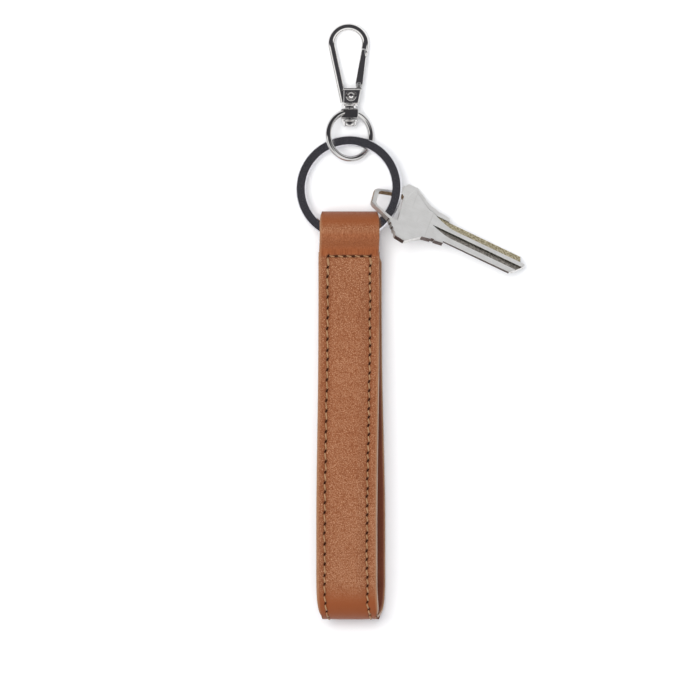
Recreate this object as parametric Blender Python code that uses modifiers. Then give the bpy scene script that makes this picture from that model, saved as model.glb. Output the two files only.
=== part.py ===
"""Loop keychain: a stitched leather wrist loop with a split ring, a swivel snap hook and a key.

It lies flat on a table as it would be put down. +Z is up, +Y runs from the loop towards the hook, and the
origin is on the flat underside of the loop. All lengths are in metres.
"""

import math

import bmesh
import bpy
from mathutils import Matrix, Vector

MM = 0.001

# Leather loop: widths, layers and the padded crown between the stitch rows
STRAP_WIDTH = 20.2 * MM
KEEPER_WIDTH = 20.0 * MM
LEATHER_THICKNESS = 1.4 * MM
LINING_THICKNESS = 0.8 * MM
LINING_INSET = 0.3 * MM
GLUE_GAP = 0.15 * MM
STITCH_ROW_INSET = 3.1 * MM
STITCH_ROW_X = STRAP_WIDTH / 2 - STITCH_ROW_INSET
CROWN_HEIGHT = 0.9 * MM
CROWN_FLAT_INSET = 2.9 * MM
CROWN_KNEE_INSET = 1.8 * MM
CROWN_FLAT_HALF = STITCH_ROW_X - CROWN_FLAT_INSET
CROWN_KNEE_HALF = STITCH_ROW_X - CROWN_KNEE_INSET
CROWN_KNEE_SHARE = 0.4
CROWN_RUN = 8.0 * MM
CROWN_BEND_SHARE = 0.5
CORE_INSET = 1.6 * MM
CORE_HALF = STITCH_ROW_X - CORE_INSET
CORE_EDGE_SHARE = 0.5
EDGE_ROUND = 0.3 * MM

# Leather loop: its run along Y, measured from the flat underside's middle
LOOP_END_Y = -55.9 * MM
BEND_DEPTH = 13.0 * MM
LOOP_HEIGHT = 17.5 * MM
BULGE_Y = -25.0 * MM
FLAT_END_Y = 20.0 * MM
PARALLEL_END_Y = 62.0 * MM
SEAM_RUN_IN = 2.1 * MM
SEAM_Y = PARALLEL_END_Y + SEAM_RUN_IN
LINING_MARGIN = 1.5 * MM
LINING_END_Y = SEAM_Y + LINING_MARGIN
STRAP_MARGIN = 1.2 * MM
STRAP_END_Y = SEAM_Y + STRAP_MARGIN
SEAM_TOP_MARGIN = 1.9 * MM
SEAM_TOP_END_Y = SEAM_Y + SEAM_TOP_MARGIN
TAB_REACH = 1.8 * MM
TAB_END_Y = SEAM_Y - TAB_REACH
TAB_FOLD_MARGIN = 2.0 * MM
TAB_FOLD_Y = SEAM_Y + TAB_FOLD_MARGIN
FRONT_SHIFT = -0.75 * MM
BACK_SHIFT = 1.85 * MM
BEND_DRAW_IN = 0.7 * MM

# Leather eye that holds the split ring
KEEPER_REACH = 8.65 * MM
KEEPER_AXIS_Y = SEAM_Y + KEEPER_REACH
KEEPER_AXIS_Z = 8.5 * MM
KEEPER_SHIFT = 0.2 * MM
KEEPER_BORE_RADIUS = 4.6 * MM
KEEPER_DRAW_IN = 0.6 * MM
KEEPER_FRONT_REACH = 3.9 * MM
KEEPER_FRONT_EASE = 2.0 * MM
KEEPER_BACK_REACH = 5.5 * MM
KEEPER_BACK_EASE = 2.4 * MM

# Stitching
THREAD_RADIUS = 0.32 * MM
THREAD_CLEARANCE = 0.2 * MM
STITCH_ROW_DRIFT = -0.3 * MM
STITCH_GROOVE_DEPTH = 0.35 * MM
STITCH_GROOVE_FLOOR_HALF = 0.5 * MM
STITCH_GROOVE_MOUTH_HALF = 0.75 * MM
CROSS_ROW_INSET = 1.0 * MM
CROSS_ROW_HALF = STITCH_ROW_X - CROSS_ROW_INSET

# Flat split ring: two coils of one bevelled wire
RING_OUTER_RADIUS = 17.5 * MM
RING_WIRE_WIDTH = 3.2 * MM
RING_WIRE_THICKNESS = 1.05 * MM
RING_WIRE_BEVEL = 0.3 * MM
RING_COIL_GAP = 0.15 * MM
RING_SEAT = 13.71 * MM
RING_CENTRE_Y = KEEPER_AXIS_Y + RING_SEAT
RING_TOP_Z = 3.75 * MM
RING_ROLL = math.radians(6.2)
RING_STEP_DEG = 10
RING_CLIMB_DEG = 30
RING_CLIMB_MIDDLE = math.radians(-90.0)

# Swivel eye: a round ring with a lug that carries the swivel post
EYE_OUTER_RADIUS = 8.8 * MM
EYE_WIRE_RADIUS = 1.0 * MM
EYE_ROLL = math.radians(26.0)
EYE_SIDE_OFFSET = 0.2 * MM
EYE_ALONG_BAND = 1.85 * MM
EYE_FLOOR_GAP = 0.15 * MM
LUG_WIDTH = 5.8 * MM
LUG_DEPTH = 3.6 * MM
LUG_BOTTOM = 5.4 * MM
LUG_TOP = 8.7 * MM
LUG_ROUND = 0.45 * MM

# Swivel post, riveted into the hook and headed inside the eye
POST_RADIUS = 1.0 * MM
POST_HEAD_RADIUS = 2.3 * MM
POST_HEAD_BOTTOM = 2.8 * MM
POST_HEAD_TOP = 4.4 * MM
POST_COLLAR_RADIUS = 2.75 * MM
POST_COLLAR_TOP = 5.1 * MM
POST_COLLAR_CHAMFER = 0.15 * MM
POST_HEAD_CHAMFER = 0.5 * MM
POST_END = 12.2 * MM
POST_CLEARANCE = 0.2 * MM

# Snap hook, measured up its axis from the centre of the eye
HOOK_WIRE_RADIUS = 1.1 * MM
HOOK_ARC_RADIUS = 5.6 * MM
HOOK_ARC_X = -0.4 * MM
HOOK_ARC_Y = 30.4 * MM
HOOK_ARM_LEAN = math.radians(12.0)
HOOK_ARM_FOOT_Y = 10.9 * MM
NECK_RADIUS = 2.05 * MM
NECK_BOTTOM = 8.95 * MM
FLANGE_RADIUS = 2.7 * MM
FLANGE_BOTTOM = 9.6 * MM
FLANGE_TOP = 10.4 * MM
FLANGE_BEVEL = 0.15 * MM
BASE_BOTTOM_WIDTH = 4.9 * MM
BASE_TOP_WIDTH = 5.9 * MM
BASE_DEPTH = 4.6 * MM
BASE_TOP = 15.6 * MM
BASE_SIDE_OFFSET = 0.45 * MM
BASE_TOP_SHIFT = 0.55 * MM
BASE_ROUND = 0.4 * MM
BADGE_Y = 12.9 * MM
BADGE_X = 0.5 * MM
BADGE_RADIUS = 1.9 * MM
BADGE_DEPTH = 0.3 * MM
HOOK_TIP_REST = 1.15 * MM

# Sprung gate and its pin
GATE_PIN_Y = 17.0 * MM
GATE_PIN_RADIUS = 0.35 * MM
GATE_PIN_CLEARANCE = 0.2 * MM
GATE_LEAN = math.radians(-9.2)
GATE_LENGTH = 11.5 * MM
GATE_WIDTH = 2.2 * MM
GATE_DEPTH = 3.0 * MM
GATE_ROUND = 0.4 * MM
GATE_FOOT_SLOT = 2.1 * MM
GATE_FOOT_SLOT_HEIGHT = 3.2 * MM
GATE_PIN_RECESS = 0.1 * MM
TONGUE_THICKNESS = 0.7 * MM
TONGUE_SIDE_GAP = 0.25 * MM
TONGUE_RADIUS = 0.85 * MM
TONGUE_ROOT_SHARE = 0.7
NOSE_GAP = 0.25 * MM
NOSE_LAP = 2.3 * MM
NOSE_SPLIT_X = 0.4 * MM

# Torsion spring round the gate pin
SPRING_WIRE_RADIUS = 0.11 * MM
SPRING_COIL_RADIUS = 0.68 * MM
SPRING_TURNS = 1.75
SPRING_PITCH = 0.3 * MM
SPRING_SIDE_GAP = 0.15 * MM
SPRING_LEG = 1.6 * MM

# House key, along its own axis from the end of its bow
KEY_LENGTH = 55.2 * MM
KEY_THICKNESS = 1.9 * MM
KEY_THREAD_S = 7.5 * MM
KEY_THREAD_ANGLE = math.radians(-22.3)
KEY_HEADING = math.radians(-25.5)
KEY_TILT = math.radians(40.5)
KEY_SLOPE = math.radians(5.5)
KEY_SIDE_SHIFT = -0.1 * MM
KEY_DROP = 0.2 * MM
BOW_END_HALF = 3.5 * MM
BOW_NECK_S = 6.3 * MM
BOW_NECK_HALF = 5.6 * MM
BOW_WIDE_START_S = 10.6 * MM
BOW_WIDE_END_S = 13.9 * MM
BOW_WIDE_HALF = 11.0 * MM
BOW_SKEW = 0.9 * MM
BOW_WAIST_S = 19.2 * MM
BOW_WAIST_HALF = 6.5 * MM
SHOULDER_S = 26.8 * MM
SHOULDER_HALF = 5.2 * MM
NOTCH_DEPTH = 0.5 * MM
FLANK_NOTCHES = 4
FLANK_NOTCH_SHARE = 0.5
SHOULDER_NOTCHES = 2
SHOULDER_NOTCH_SHARE = 0.3
BOW_CORNER = 0.9 * MM
HOLE_START_S = 1.5 * MM
HOLE_END_S = 10.1 * MM
HOLE_START_HALF = 3.2 * MM
HOLE_END_HALF = 5.8 * MM
HOLE_CORNER = 0.8 * MM
PANEL_START_S = 11.4 * MM
PANEL_END_S = 23.0 * MM
PANEL_MARGIN = 1.6 * MM
PANEL_DEPTH = 0.25 * MM
BLADE_UPPER = 3.75 * MM
BLADE_LOWER = -4.1 * MM
TIP_UPPER_S = 53.0 * MM
TIP_NOSE_HALF = 0.8 * MM
TIP_LOWER_S = 50.6 * MM
UPPER_GROOVE_BOTTOM = 2.2 * MM
LOWER_GROOVE_TOP = 1.05 * MM
LOWER_GROOVE_BOTTOM = -0.65 * MM
BACK_GROOVE_TOP = 0.4 * MM
BACK_GROOVE_BOTTOM = -2.0 * MM
GROOVE_DEPTH = 0.55 * MM
RELIEF_TOP = -2.6 * MM
RELIEF_LAND = 0.65 * MM
GROOVE_START_S = 21.8 * MM
GROOVE_RUN_IN = 8.0 * MM

CUT_OVERRUN = 1.0 * MM
WELD_DISTANCE = 0.01 * MM
ROUND_STEPS = 24
PIN_STEPS = 16
SMOOTH_ANGLE = math.radians(40.0)

PARTS = "loop_keychain"
CUTTERS = "cutters"


def ease(share):
    """A share from 0 to 1, slowed at both ends."""
    share = min(max(share, 0.0), 1.0)
    return share * share * (3.0 - 2.0 * share)


def blend(start, end, share):
    return start + (end - start) * share


def clear_scene():
    for item in list(bpy.data.objects):
        bpy.data.objects.remove(item, do_unlink=True)


def make_collection(name):
    collection = bpy.data.collections.new(name)
    bpy.context.scene.collection.children.link(collection)
    return collection


def make_material(name, colour, roughness, metallic):
    material = bpy.data.materials.new(name)
    material.use_nodes = True
    shader = material.node_tree.nodes["Principled BSDF"]
    shader.inputs["Base Color"].default_value = (*colour, 1.0)
    shader.inputs["Roughness"].default_value = roughness
    shader.inputs["Metallic"].default_value = metallic
    material.diffuse_color = (*colour, 1.0)
    return material


def make_frame(name, matrix, parent=None):
    """An empty that carries a moving body, with its origin on the joint's axis."""
    frame = bpy.data.objects.new(name, None)
    frame.empty_display_size = EYE_OUTER_RADIUS
    frame.parent = parent
    frame.matrix_basis = matrix
    bpy.data.collections[PARTS].objects.link(frame)
    return frame


def make_part(name, mesh, material, parent=None, matrix=None):
    mesh.shade_smooth()
    mesh.set_sharp_from_angle(angle=SMOOTH_ANGLE)
    part = bpy.data.objects.new(name, mesh)
    part.data.materials.append(material)
    part.parent = parent
    part.matrix_basis = matrix or Matrix.Identity(4)
    bpy.data.collections[PARTS].objects.link(part)
    return part


def make_helper(name, mesh, parent=None, matrix=None):
    """A shape that cuts or joins another one and isn't a piece itself."""
    helper = bpy.data.objects.new(name, mesh)
    helper.parent = parent
    helper.matrix_basis = matrix or Matrix.Identity(4)
    helper.hide_render = True
    helper.display_type = "WIRE"
    bpy.data.collections[CUTTERS].objects.link(helper)
    return helper


def combine(part, helper, operation):
    modifier = part.modifiers.new(helper.name, "BOOLEAN")
    modifier.operation = operation
    modifier.solver = "EXACT"
    modifier.object = helper
    return modifier


def mesh_from(name, build):
    mesh = bpy.data.meshes.new(name)
    shape = bmesh.new()
    build(shape)
    bmesh.ops.recalc_face_normals(shape, faces=shape.faces)
    shape.to_mesh(mesh)
    shape.free()
    return mesh


def loft_mesh(name, rings):
    """A closed skin through rings of points that have the same number of points each."""

    def build(shape):
        loops = [[shape.verts.new(point) for point in ring] for ring in rings]
        count = len(loops[0])
        for low, high in zip(loops, loops[1:]):
            for i in range(count):
                j = (i + 1) % count
                shape.faces.new((low[i], low[j], high[j], high[i]))
        shape.faces.new(reversed(loops[0]))
        shape.faces.new(loops[-1])

    return mesh_from(name, build)


def box_mesh(name, low, high, rounding=0.0, top_scale=1.0, top_shift=0.0):
    """A box between two corners, its far end along Y widened and moved in X, its edges rounded."""

    def build(shape):
        bmesh.ops.create_cube(shape, size=1.0)
        size = Vector(high) - Vector(low)
        middle = (Vector(high) + Vector(low)) / 2
        for vert in shape.verts:
            stretch, shift = (top_scale, top_shift) if vert.co.y > 0 else (1.0, 0.0)
            across = vert.co.x * size.x * stretch + shift
            vert.co = middle + Vector((across, vert.co.y * size.y, vert.co.z * size.z))
        if rounding:
            bmesh.ops.bevel(
                shape,
                geom=list(shape.edges),
                offset=rounding,
                segments=2,
                profile=0.5,
                affect="EDGES",
            )

    return mesh_from(name, build)


def rod_mesh(name, radius, length, steps=ROUND_STEPS):
    """A cylinder along Z, centred on the origin."""

    def build(shape):
        bmesh.ops.create_cone(
            shape, cap_ends=True, segments=steps, radius1=radius, radius2=radius, depth=length
        )

    return mesh_from(name, build)


def prism_mesh(name, outline, half_thickness, lift=0.0):
    """A flat curve outline, filled and given thickness, turned into a welded mesh."""
    curve = bpy.data.curves.new(name, "CURVE")
    curve.dimensions = "2D"
    curve.fill_mode = "BOTH"
    curve.extrude = half_thickness
    spline = curve.splines.new("POLY")
    spline.points.add(len(outline) - 1)
    for point, (x, y) in zip(spline.points, outline):
        point.co = (x, y, 0.0, 1.0)
    spline.use_cyclic_u = True
    mesh = mesh_from_curve(name, curve)
    mesh.transform(Matrix.Translation((0.0, 0.0, lift)))
    return mesh


def wire_curve(name, points, radius, resolution):
    curve = bpy.data.curves.new(name, "CURVE")
    curve.dimensions = "3D"
    curve.bevel_depth = radius
    curve.bevel_resolution = resolution
    curve.use_fill_caps = True
    spline = curve.splines.new("POLY")
    spline.points.add(len(points) - 1)
    for point, place in zip(spline.points, points):
        point.co = (*place, 1.0)
    return curve


def mesh_from_curve(name, curve):
    """The curve's evaluated mesh with its caps welded on."""
    carrier = bpy.data.objects.new(name + "_curve", curve)
    bpy.context.scene.collection.objects.link(carrier)
    graph = bpy.context.evaluated_depsgraph_get()
    mesh = bpy.data.meshes.new_from_object(carrier.evaluated_get(graph))
    mesh.name = name
    bpy.data.objects.remove(carrier, do_unlink=True)
    bpy.data.curves.remove(curve)
    shape = bmesh.new()
    shape.from_mesh(mesh)
    bmesh.ops.remove_doubles(shape, verts=shape.verts, dist=WELD_DISTANCE)
    bmesh.ops.recalc_face_normals(shape, faces=shape.faces)
    shape.to_mesh(mesh)
    shape.free()
    return mesh


def wire_mesh(name, points, radius, resolution=2):
    return mesh_from_curve(name, wire_curve(name, points, radius, resolution))


def turned(part, steps=ROUND_STEPS):
    """A full turn of the part's profile round its Z axis."""
    screw = part.modifiers.new("turn", "SCREW")
    screw.axis = "Z"
    screw.angle = math.tau
    screw.steps = steps
    screw.render_steps = steps
    screw.use_merge_vertices = True
    screw.merge_threshold = WELD_DISTANCE
    screw.use_smooth_shade = True
    return part


def profile_mesh(name, points):
    """A chain of edges in the XZ plane, from radii and heights that run down the outer side."""
    mesh = bpy.data.meshes.new(name)
    places = [(radius, 0.0, height) for radius, height in points]
    mesh.from_pydata(places, [(i, i + 1) for i in range(len(places) - 1)], [])
    return mesh


class Station:
    """One place along the strap: its outer surface line in the YZ plane, and its section there."""

    def __init__(self, y, z, shift, half_width, crown=0.0, groove=0.0, cross=0.0, drift=0.0):
        self.place = Vector((0.0, y, z))
        self.shift = shift
        self.drift = drift
        self.half_width = half_width
        self.crown = crown
        self.groove = groove
        self.cross = cross
        self.outward = None

    def point(self, x, depth):
        """The point at x across the strap and this deep below its outer surface line."""
        at = self.place - self.outward * depth
        return Vector((self.shift + x, at.y, at.z))

    def inner_point(self, x, depth):
        """The same for what follows the stitch rows, which drift towards one edge."""
        return self.point(x + self.drift, depth)


def loop_thickness():
    """Leather and lining of one side of the seam, from the tab to the outer surface."""
    return LEATHER_THICKNESS + LINING_THICKNESS + 2 * GLUE_GAP


def seam_half():
    return LEATHER_THICKNESS / 2 + loop_thickness()


def keeper_outer_radius():
    return KEEPER_BORE_RADIUS + LEATHER_THICKNESS


def loop_share(y):
    """0 at the seam, 1 where the loop is fully open."""
    return ease((PARALLEL_END_Y - y) / (PARALLEL_END_Y - BULGE_Y))


def front_station(y, cross=0.0):
    seam_z = KEEPER_AXIS_Z + seam_half()
    z = blend(seam_z, LOOP_HEIGHT, loop_share(y))
    crown = ease((PARALLEL_END_Y - y) / CROWN_RUN)
    groove = 1.0 if y < SEAM_Y - STITCH_GROOVE_MOUTH_HALF / 2 else 0.0
    half = STRAP_WIDTH / 2 if y < SEAM_Y else KEEPER_WIDTH / 2
    share = loop_share(y)
    return Station(y, z, FRONT_SHIFT * share, half, crown, groove, cross, STITCH_ROW_DRIFT * share)


def back_station(y):
    seam_z = KEEPER_AXIS_Z - seam_half()
    rise = 1.0 - ease((PARALLEL_END_Y - y) / (PARALLEL_END_Y - FLAT_END_Y))
    crown = ease((PARALLEL_END_Y - y) / CROWN_RUN)
    groove = 1.0 if y < SEAM_Y else 0.0
    return Station(y, seam_z * rise, BACK_SHIFT * loop_share(y), STRAP_WIDTH / 2, crown, groove)


def bend_stations(count=13):
    """The half ellipse where the front strap turns under, its crown pressed flatter there."""
    centre_y = LOOP_END_Y + BEND_DEPTH
    half_height = LOOP_HEIGHT / 2
    found = []
    for i in range(1, count):
        share = i / count
        angle = math.pi * share
        y = centre_y - BEND_DEPTH * math.sin(angle)
        z = half_height + half_height * math.cos(angle)
        shift = blend(FRONT_SHIFT, BACK_SHIFT, ease(share))
        half = STRAP_WIDTH / 2 - BEND_DRAW_IN * math.sin(angle) ** 2
        drift = STITCH_ROW_DRIFT * (1.0 - ease(share))
        crown = blend(1.0, CROWN_BEND_SHARE, math.sin(angle) ** 2)
        found.append(Station(y, z, shift, half, crown, 1.0, drift=drift))
    return found


def curve_stations(a, b, c, d, count):
    """Points of a cubic curve from a to d, without its two ends."""
    found = []
    for i in range(1, count):
        t = i / count
        u = 1.0 - t
        weights = (u**3, 3 * u * u * t, 3 * u * t * t, t**3)
        y = sum(w * p[0] for w, p in zip(weights, (a, b, c, d)))
        z = sum(w * p[1] for w, p in zip(weights, (a, b, c, d)))
        shift = KEEPER_SHIFT * ease((y - STRAP_END_Y) / KEEPER_BORE_RADIUS)
        found.append(Station(y, z, shift, KEEPER_WIDTH / 2))
    return found


def keeper_stations(count=10):
    """The tab inside the seam, the back of the eye, its fold and its front, down to the seam."""
    radius = keeper_outer_radius()
    tab_z = KEEPER_AXIS_Z - LEATHER_THICKNESS / 2
    front_z = KEEPER_AXIS_Z + seam_half()
    tab = (TAB_FOLD_Y, tab_z)
    low = (KEEPER_AXIS_Y, KEEPER_AXIS_Z - radius)
    high = (KEEPER_AXIS_Y, KEEPER_AXIS_Z + radius)
    seam = (SEAM_TOP_END_Y, front_z)
    found = [Station(y, tab_z, 0.0, KEEPER_WIDTH / 2) for y in (TAB_END_Y, TAB_FOLD_Y)]
    found += curve_stations(
        tab,
        (tab[0] + KEEPER_BACK_EASE, tab_z),
        (low[0] - KEEPER_BACK_REACH, low[1]),
        low,
        6,
    )
    for i in range(count + 1):
        angle = math.pi * (i / count - 0.5)
        y = KEEPER_AXIS_Y + radius * math.cos(angle)
        z = KEEPER_AXIS_Z + radius * math.sin(angle)
        half = KEEPER_WIDTH / 2 - KEEPER_DRAW_IN * max(math.cos(angle), 0.0) ** 4
        found.append(Station(y, z, KEEPER_SHIFT, half))
    found += curve_stations(
        high,
        (high[0] - KEEPER_FRONT_REACH, high[1]),
        (seam[0] + KEEPER_FRONT_EASE, front_z),
        seam,
        5,
    )
    return found


def spread(start, end, count):
    """Count values from start towards end, with start left out."""
    return [blend(start, end, i / count) for i in range(1, count + 1)]


def loop_stations():
    """The stations of the loop itself, from the seam over the front, round the bend and back."""
    floor = STITCH_GROOVE_FLOOR_HALF
    mouth = STITCH_GROOVE_MOUTH_HALF
    bend_y = LOOP_END_Y + BEND_DEPTH
    found = [front_station(LINING_END_Y), front_station(SEAM_Y + mouth)]
    found += [front_station(SEAM_Y + floor, cross=1.0), front_station(SEAM_Y - floor, cross=1.0)]
    found += [front_station(SEAM_Y - mouth), front_station(PARALLEL_END_Y)]
    found += [front_station(y) for y in spread(PARALLEL_END_Y, PARALLEL_END_Y - CROWN_RUN, 2)]
    found += [front_station(y) for y in spread(PARALLEL_END_Y - CROWN_RUN, bend_y, 14)]
    found += bend_stations()
    found += [back_station(bend_y)]
    found += [back_station(y) for y in spread(bend_y, FLAT_END_Y, 6)]
    found += [back_station(y) for y in spread(FLAT_END_Y, PARALLEL_END_Y - CROWN_RUN, 6)]
    found += [back_station(y) for y in spread(PARALLEL_END_Y - CROWN_RUN, PARALLEL_END_Y, 2)]
    found += [back_station(STRAP_END_Y)]
    return found


def set_outward(stations):
    """Each station's outward direction, square to the line through its neighbours."""
    last = len(stations) - 1
    for i, station in enumerate(stations):
        along = stations[min(i + 1, last)].place - stations[max(i - 1, 0)].place
        along.normalize()
        station.outward = Vector((0.0, along.z, -along.y))


def crown_drop(station, x):
    """How far the surface at x lies below the crown's flat top."""
    x = abs(x)
    edge = STITCH_ROW_X - STITCH_GROOVE_MOUTH_HALF
    if x <= CROWN_FLAT_HALF:
        share = 0.0
    elif x <= CROWN_KNEE_HALF:
        share = CROWN_KNEE_SHARE * (x - CROWN_FLAT_HALF) / (CROWN_KNEE_HALF - CROWN_FLAT_HALF)
    else:
        share = blend(CROWN_KNEE_SHARE, 1.0, min((x - CROWN_KNEE_HALF) / (edge - CROWN_KNEE_HALF), 1.0))
    return share * CROWN_HEIGHT * station.crown


def leather_ring(station):
    """One section of the outer leather, its top side left to right and its underside back again."""
    half = station.half_width
    floor = STITCH_GROOVE_FLOOR_HALF
    mouth = STITCH_GROOVE_MOUTH_HALF
    groove = STITCH_GROOVE_DEPTH * station.groove
    cross = STITCH_GROOVE_DEPTH * station.cross
    side = [
        (half, EDGE_ROUND),
        (half - EDGE_ROUND, 0.0),
        (STITCH_ROW_X + mouth, 0.0),
        (STITCH_ROW_X + floor, groove),
        (STITCH_ROW_X - floor, max(groove, cross)),
        (STITCH_ROW_X - mouth, cross),
        (CROWN_KNEE_HALF, cross),
        (CROWN_FLAT_HALF, cross),
    ]
    left = [(-x, crown_drop(station, x) + cut) for x, cut in side]
    right = [(x, crown_drop(station, x) + cut) for x, cut in reversed(side)]
    under_x = (half, STITCH_ROW_X - mouth, CROWN_KNEE_HALF, CROWN_FLAT_HALF)
    under = [(x, crown_drop(station, x) + LEATHER_THICKNESS) for x in under_x]
    under += [(-x, depth) for x, depth in reversed(under)]
    rim = half - EDGE_ROUND
    section = left + right + under
    return [
        station.point(x, depth) if abs(x) >= rim else station.inner_point(x, depth) for x, depth in section
    ]


def lining_ring(station):
    half = station.half_width - LINING_INSET
    top = CROWN_HEIGHT * station.crown + LEATHER_THICKNESS + GLUE_GAP
    low = top + LINING_THICKNESS
    return [station.point(x, depth) for x, depth in ((-half, top), (half, top), (half, low), (-half, low))]


def core_ring(station):
    skin = LEATHER_THICKNESS + GLUE_GAP
    crown = CROWN_HEIGHT * station.crown
    edge = skin + CORE_EDGE_SHARE * crown
    low = crown + LEATHER_THICKNESS
    section = (
        (-CORE_HALF, edge),
        (-CROWN_FLAT_HALF, skin),
        (CROWN_FLAT_HALF, skin),
        (CORE_HALF, edge),
        (CORE_HALF, low),
        (-CORE_HALF, low),
    )
    return [station.inner_point(x, depth) for x, depth in section]


def row_points(stations, side):
    """The stitch row's thread, along the floor of its groove."""
    above = THREAD_RADIUS + THREAD_CLEARANCE - STITCH_GROOVE_DEPTH
    x = side * STITCH_ROW_X
    return [s.inner_point(x, crown_drop(s, x) - above) for s in stations if s.groove and not s.cross]


def build_leather(materials):
    loop = loop_stations()
    stations = keeper_stations() + [front_station(SEAM_TOP_END_Y)] + loop
    set_outward(stations)
    leather = loft_mesh("outer_leather", map_rings(leather_ring, stations))
    make_part("outer_leather", leather, materials["leather"])
    lining = loft_mesh("lining_leather", map_rings(lining_ring, loop))
    make_part("lining_leather", lining, materials["lining"])
    full = [i for i, station in enumerate(loop) if station.crown == 1.0]
    padded = loop[full[0] : full[-1] + 1]
    make_part("strap_core", loft_mesh("strap_core", map_rings(core_ring, padded)), materials["core"])
    for name, side in (("stitching_left", -1), ("stitching_right", 1)):
        thread = wire_mesh(name, row_points(loop, side), THREAD_RADIUS, 1)
        make_part(name, thread, materials["thread"])
    seam = next(s for s in loop if s.cross)
    above = THREAD_RADIUS + THREAD_CLEARANCE - STITCH_GROOVE_DEPTH
    z = seam.place.z + above
    cross = [(x, SEAM_Y, z) for x in (-CROSS_ROW_HALF, CROSS_ROW_HALF)]
    make_part("stitching_cross", wire_mesh("stitching_cross", cross, THREAD_RADIUS, 1), materials["thread"])


def map_rings(section, stations):
    return [section(station) for station in stations]


def ring_mid_radius():
    return RING_OUTER_RADIUS - RING_WIRE_WIDTH / 2


def ring_level(turned_deg):
    """Height of the wire's middle: the lower coil, the climb, then the upper coil."""
    half = (RING_WIRE_THICKNESS + RING_COIL_GAP) / 2
    climb = (turned_deg - (360 - RING_CLIMB_DEG)) / RING_CLIMB_DEG
    return blend(-half, half, ease(climb))


def ring_section():
    """Radial and vertical offsets of the wire's bevelled section."""
    half = RING_WIRE_WIDTH / 2
    flat = RING_WIRE_THICKNESS / 2
    bevel = RING_WIRE_BEVEL
    return (
        (-half, -flat + bevel),
        (-half + bevel, -flat),
        (half - bevel, -flat),
        (half, -flat + bevel),
        (half, flat - bevel),
        (half - bevel, flat),
        (-half + bevel, flat),
        (-half, flat - bevel),
    )


def build_key_ring(frame, materials):
    """The wire winds twice round, and climbs one thickness where the leather hides it."""
    start = RING_CLIMB_MIDDLE - math.radians(360 - RING_CLIMB_DEG / 2)
    rings = []
    for turned_deg in range(0, 720 - RING_CLIMB_DEG + 1, RING_STEP_DEG):
        angle = start + math.radians(turned_deg)
        level = ring_level(turned_deg)
        out = Vector((math.cos(angle), math.sin(angle), 0.0))
        ring = []
        for radial, height in ring_section():
            ring.append(out * (ring_mid_radius() + radial) + Vector((0.0, 0.0, level + height)))
        rings.append(ring)
    place = Matrix.Translation((0.0, RING_CENTRE_Y - KEEPER_AXIS_Y, 0.0))
    return make_part("key_ring", loft_mesh("key_ring", rings), materials["ring"], frame, place)


def upright(x=0.0, y=0.0, z=0.0):
    """A turned piece's Z axis laid along Y, at this place."""
    return Matrix.Translation((x, y, z)) @ Matrix.Rotation(-math.pi / 2, 4, "X")


def build_eye(frame, centre, materials):
    """The rolled round ring and its level lug are one casting, bored for the post."""
    rolled = centre @ Matrix.Rotation(EYE_ROLL, 4, "Y")
    bpy.ops.mesh.primitive_torus_add(
        major_segments=32,
        minor_segments=10,
        major_radius=EYE_OUTER_RADIUS - EYE_WIRE_RADIUS,
        minor_radius=EYE_WIRE_RADIUS,
    )
    torus = bpy.context.active_object
    mesh = torus.data
    bpy.data.objects.remove(torus, do_unlink=True)
    eye = make_part("swivel_eye", mesh, materials["hook"], frame, rolled)
    low = (-LUG_WIDTH / 2, LUG_BOTTOM, -LUG_DEPTH / 2)
    high = (LUG_WIDTH / 2, LUG_TOP, LUG_DEPTH / 2)
    lug = make_helper("eye_lug", box_mesh("eye_lug", low, high, LUG_ROUND), frame, centre)
    combine(eye, lug, "UNION")
    length = LUG_TOP - LUG_BOTTOM + 2 * CUT_OVERRUN
    bore = rod_mesh("eye_bore", POST_RADIUS + POST_CLEARANCE, length)
    middle = upright(y=(LUG_TOP + LUG_BOTTOM) / 2)
    combine(eye, make_helper("eye_bore", bore, frame, centre @ middle), "DIFFERENCE")
    return eye


def build_post(frame, local, materials):
    """The post runs through the lug, with its collar and head inside the eye and its end in the hook."""
    chamfer = POST_HEAD_CHAMFER
    edge = POST_COLLAR_CHAMFER
    profile = (
        (0.0, POST_END),
        (POST_RADIUS, POST_END),
        (POST_RADIUS, POST_COLLAR_TOP),
        (POST_COLLAR_RADIUS - edge, POST_COLLAR_TOP),
        (POST_COLLAR_RADIUS, POST_COLLAR_TOP - edge),
        (POST_COLLAR_RADIUS, POST_HEAD_TOP + edge),
        (POST_COLLAR_RADIUS - edge, POST_HEAD_TOP),
        (POST_HEAD_RADIUS, POST_HEAD_TOP),
        (POST_HEAD_RADIUS, POST_HEAD_BOTTOM + chamfer),
        (POST_HEAD_RADIUS - chamfer, POST_HEAD_BOTTOM),
        (0.0, POST_HEAD_BOTTOM),
    )
    mesh = profile_mesh("swivel_post", profile)
    return turned(make_part("swivel_post", mesh, materials["hook"], frame, local @ upright()))


def hook_points():
    """The wire's middle line, from its foot on the base over the top to the nose."""
    start = math.pi + HOOK_ARM_LEAN
    left = arc_point(start)
    down = Vector((math.sin(HOOK_ARM_LEAN), -math.cos(HOOK_ARM_LEAN), 0.0))
    foot = left + down * (left.y - HOOK_ARM_FOOT_Y) / math.cos(HOOK_ARM_LEAN)
    steps = 14
    points = [foot]
    points += [arc_point(blend(start, GATE_LEAN, i / steps)) for i in range(steps + 1)]
    points.append(nose_root() - gate_direction() * NOSE_LAP)
    return points


def gate_direction():
    """Unit vector up the closed gate."""
    return Vector((math.sin(-GATE_LEAN), math.cos(GATE_LEAN), 0.0))


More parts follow.
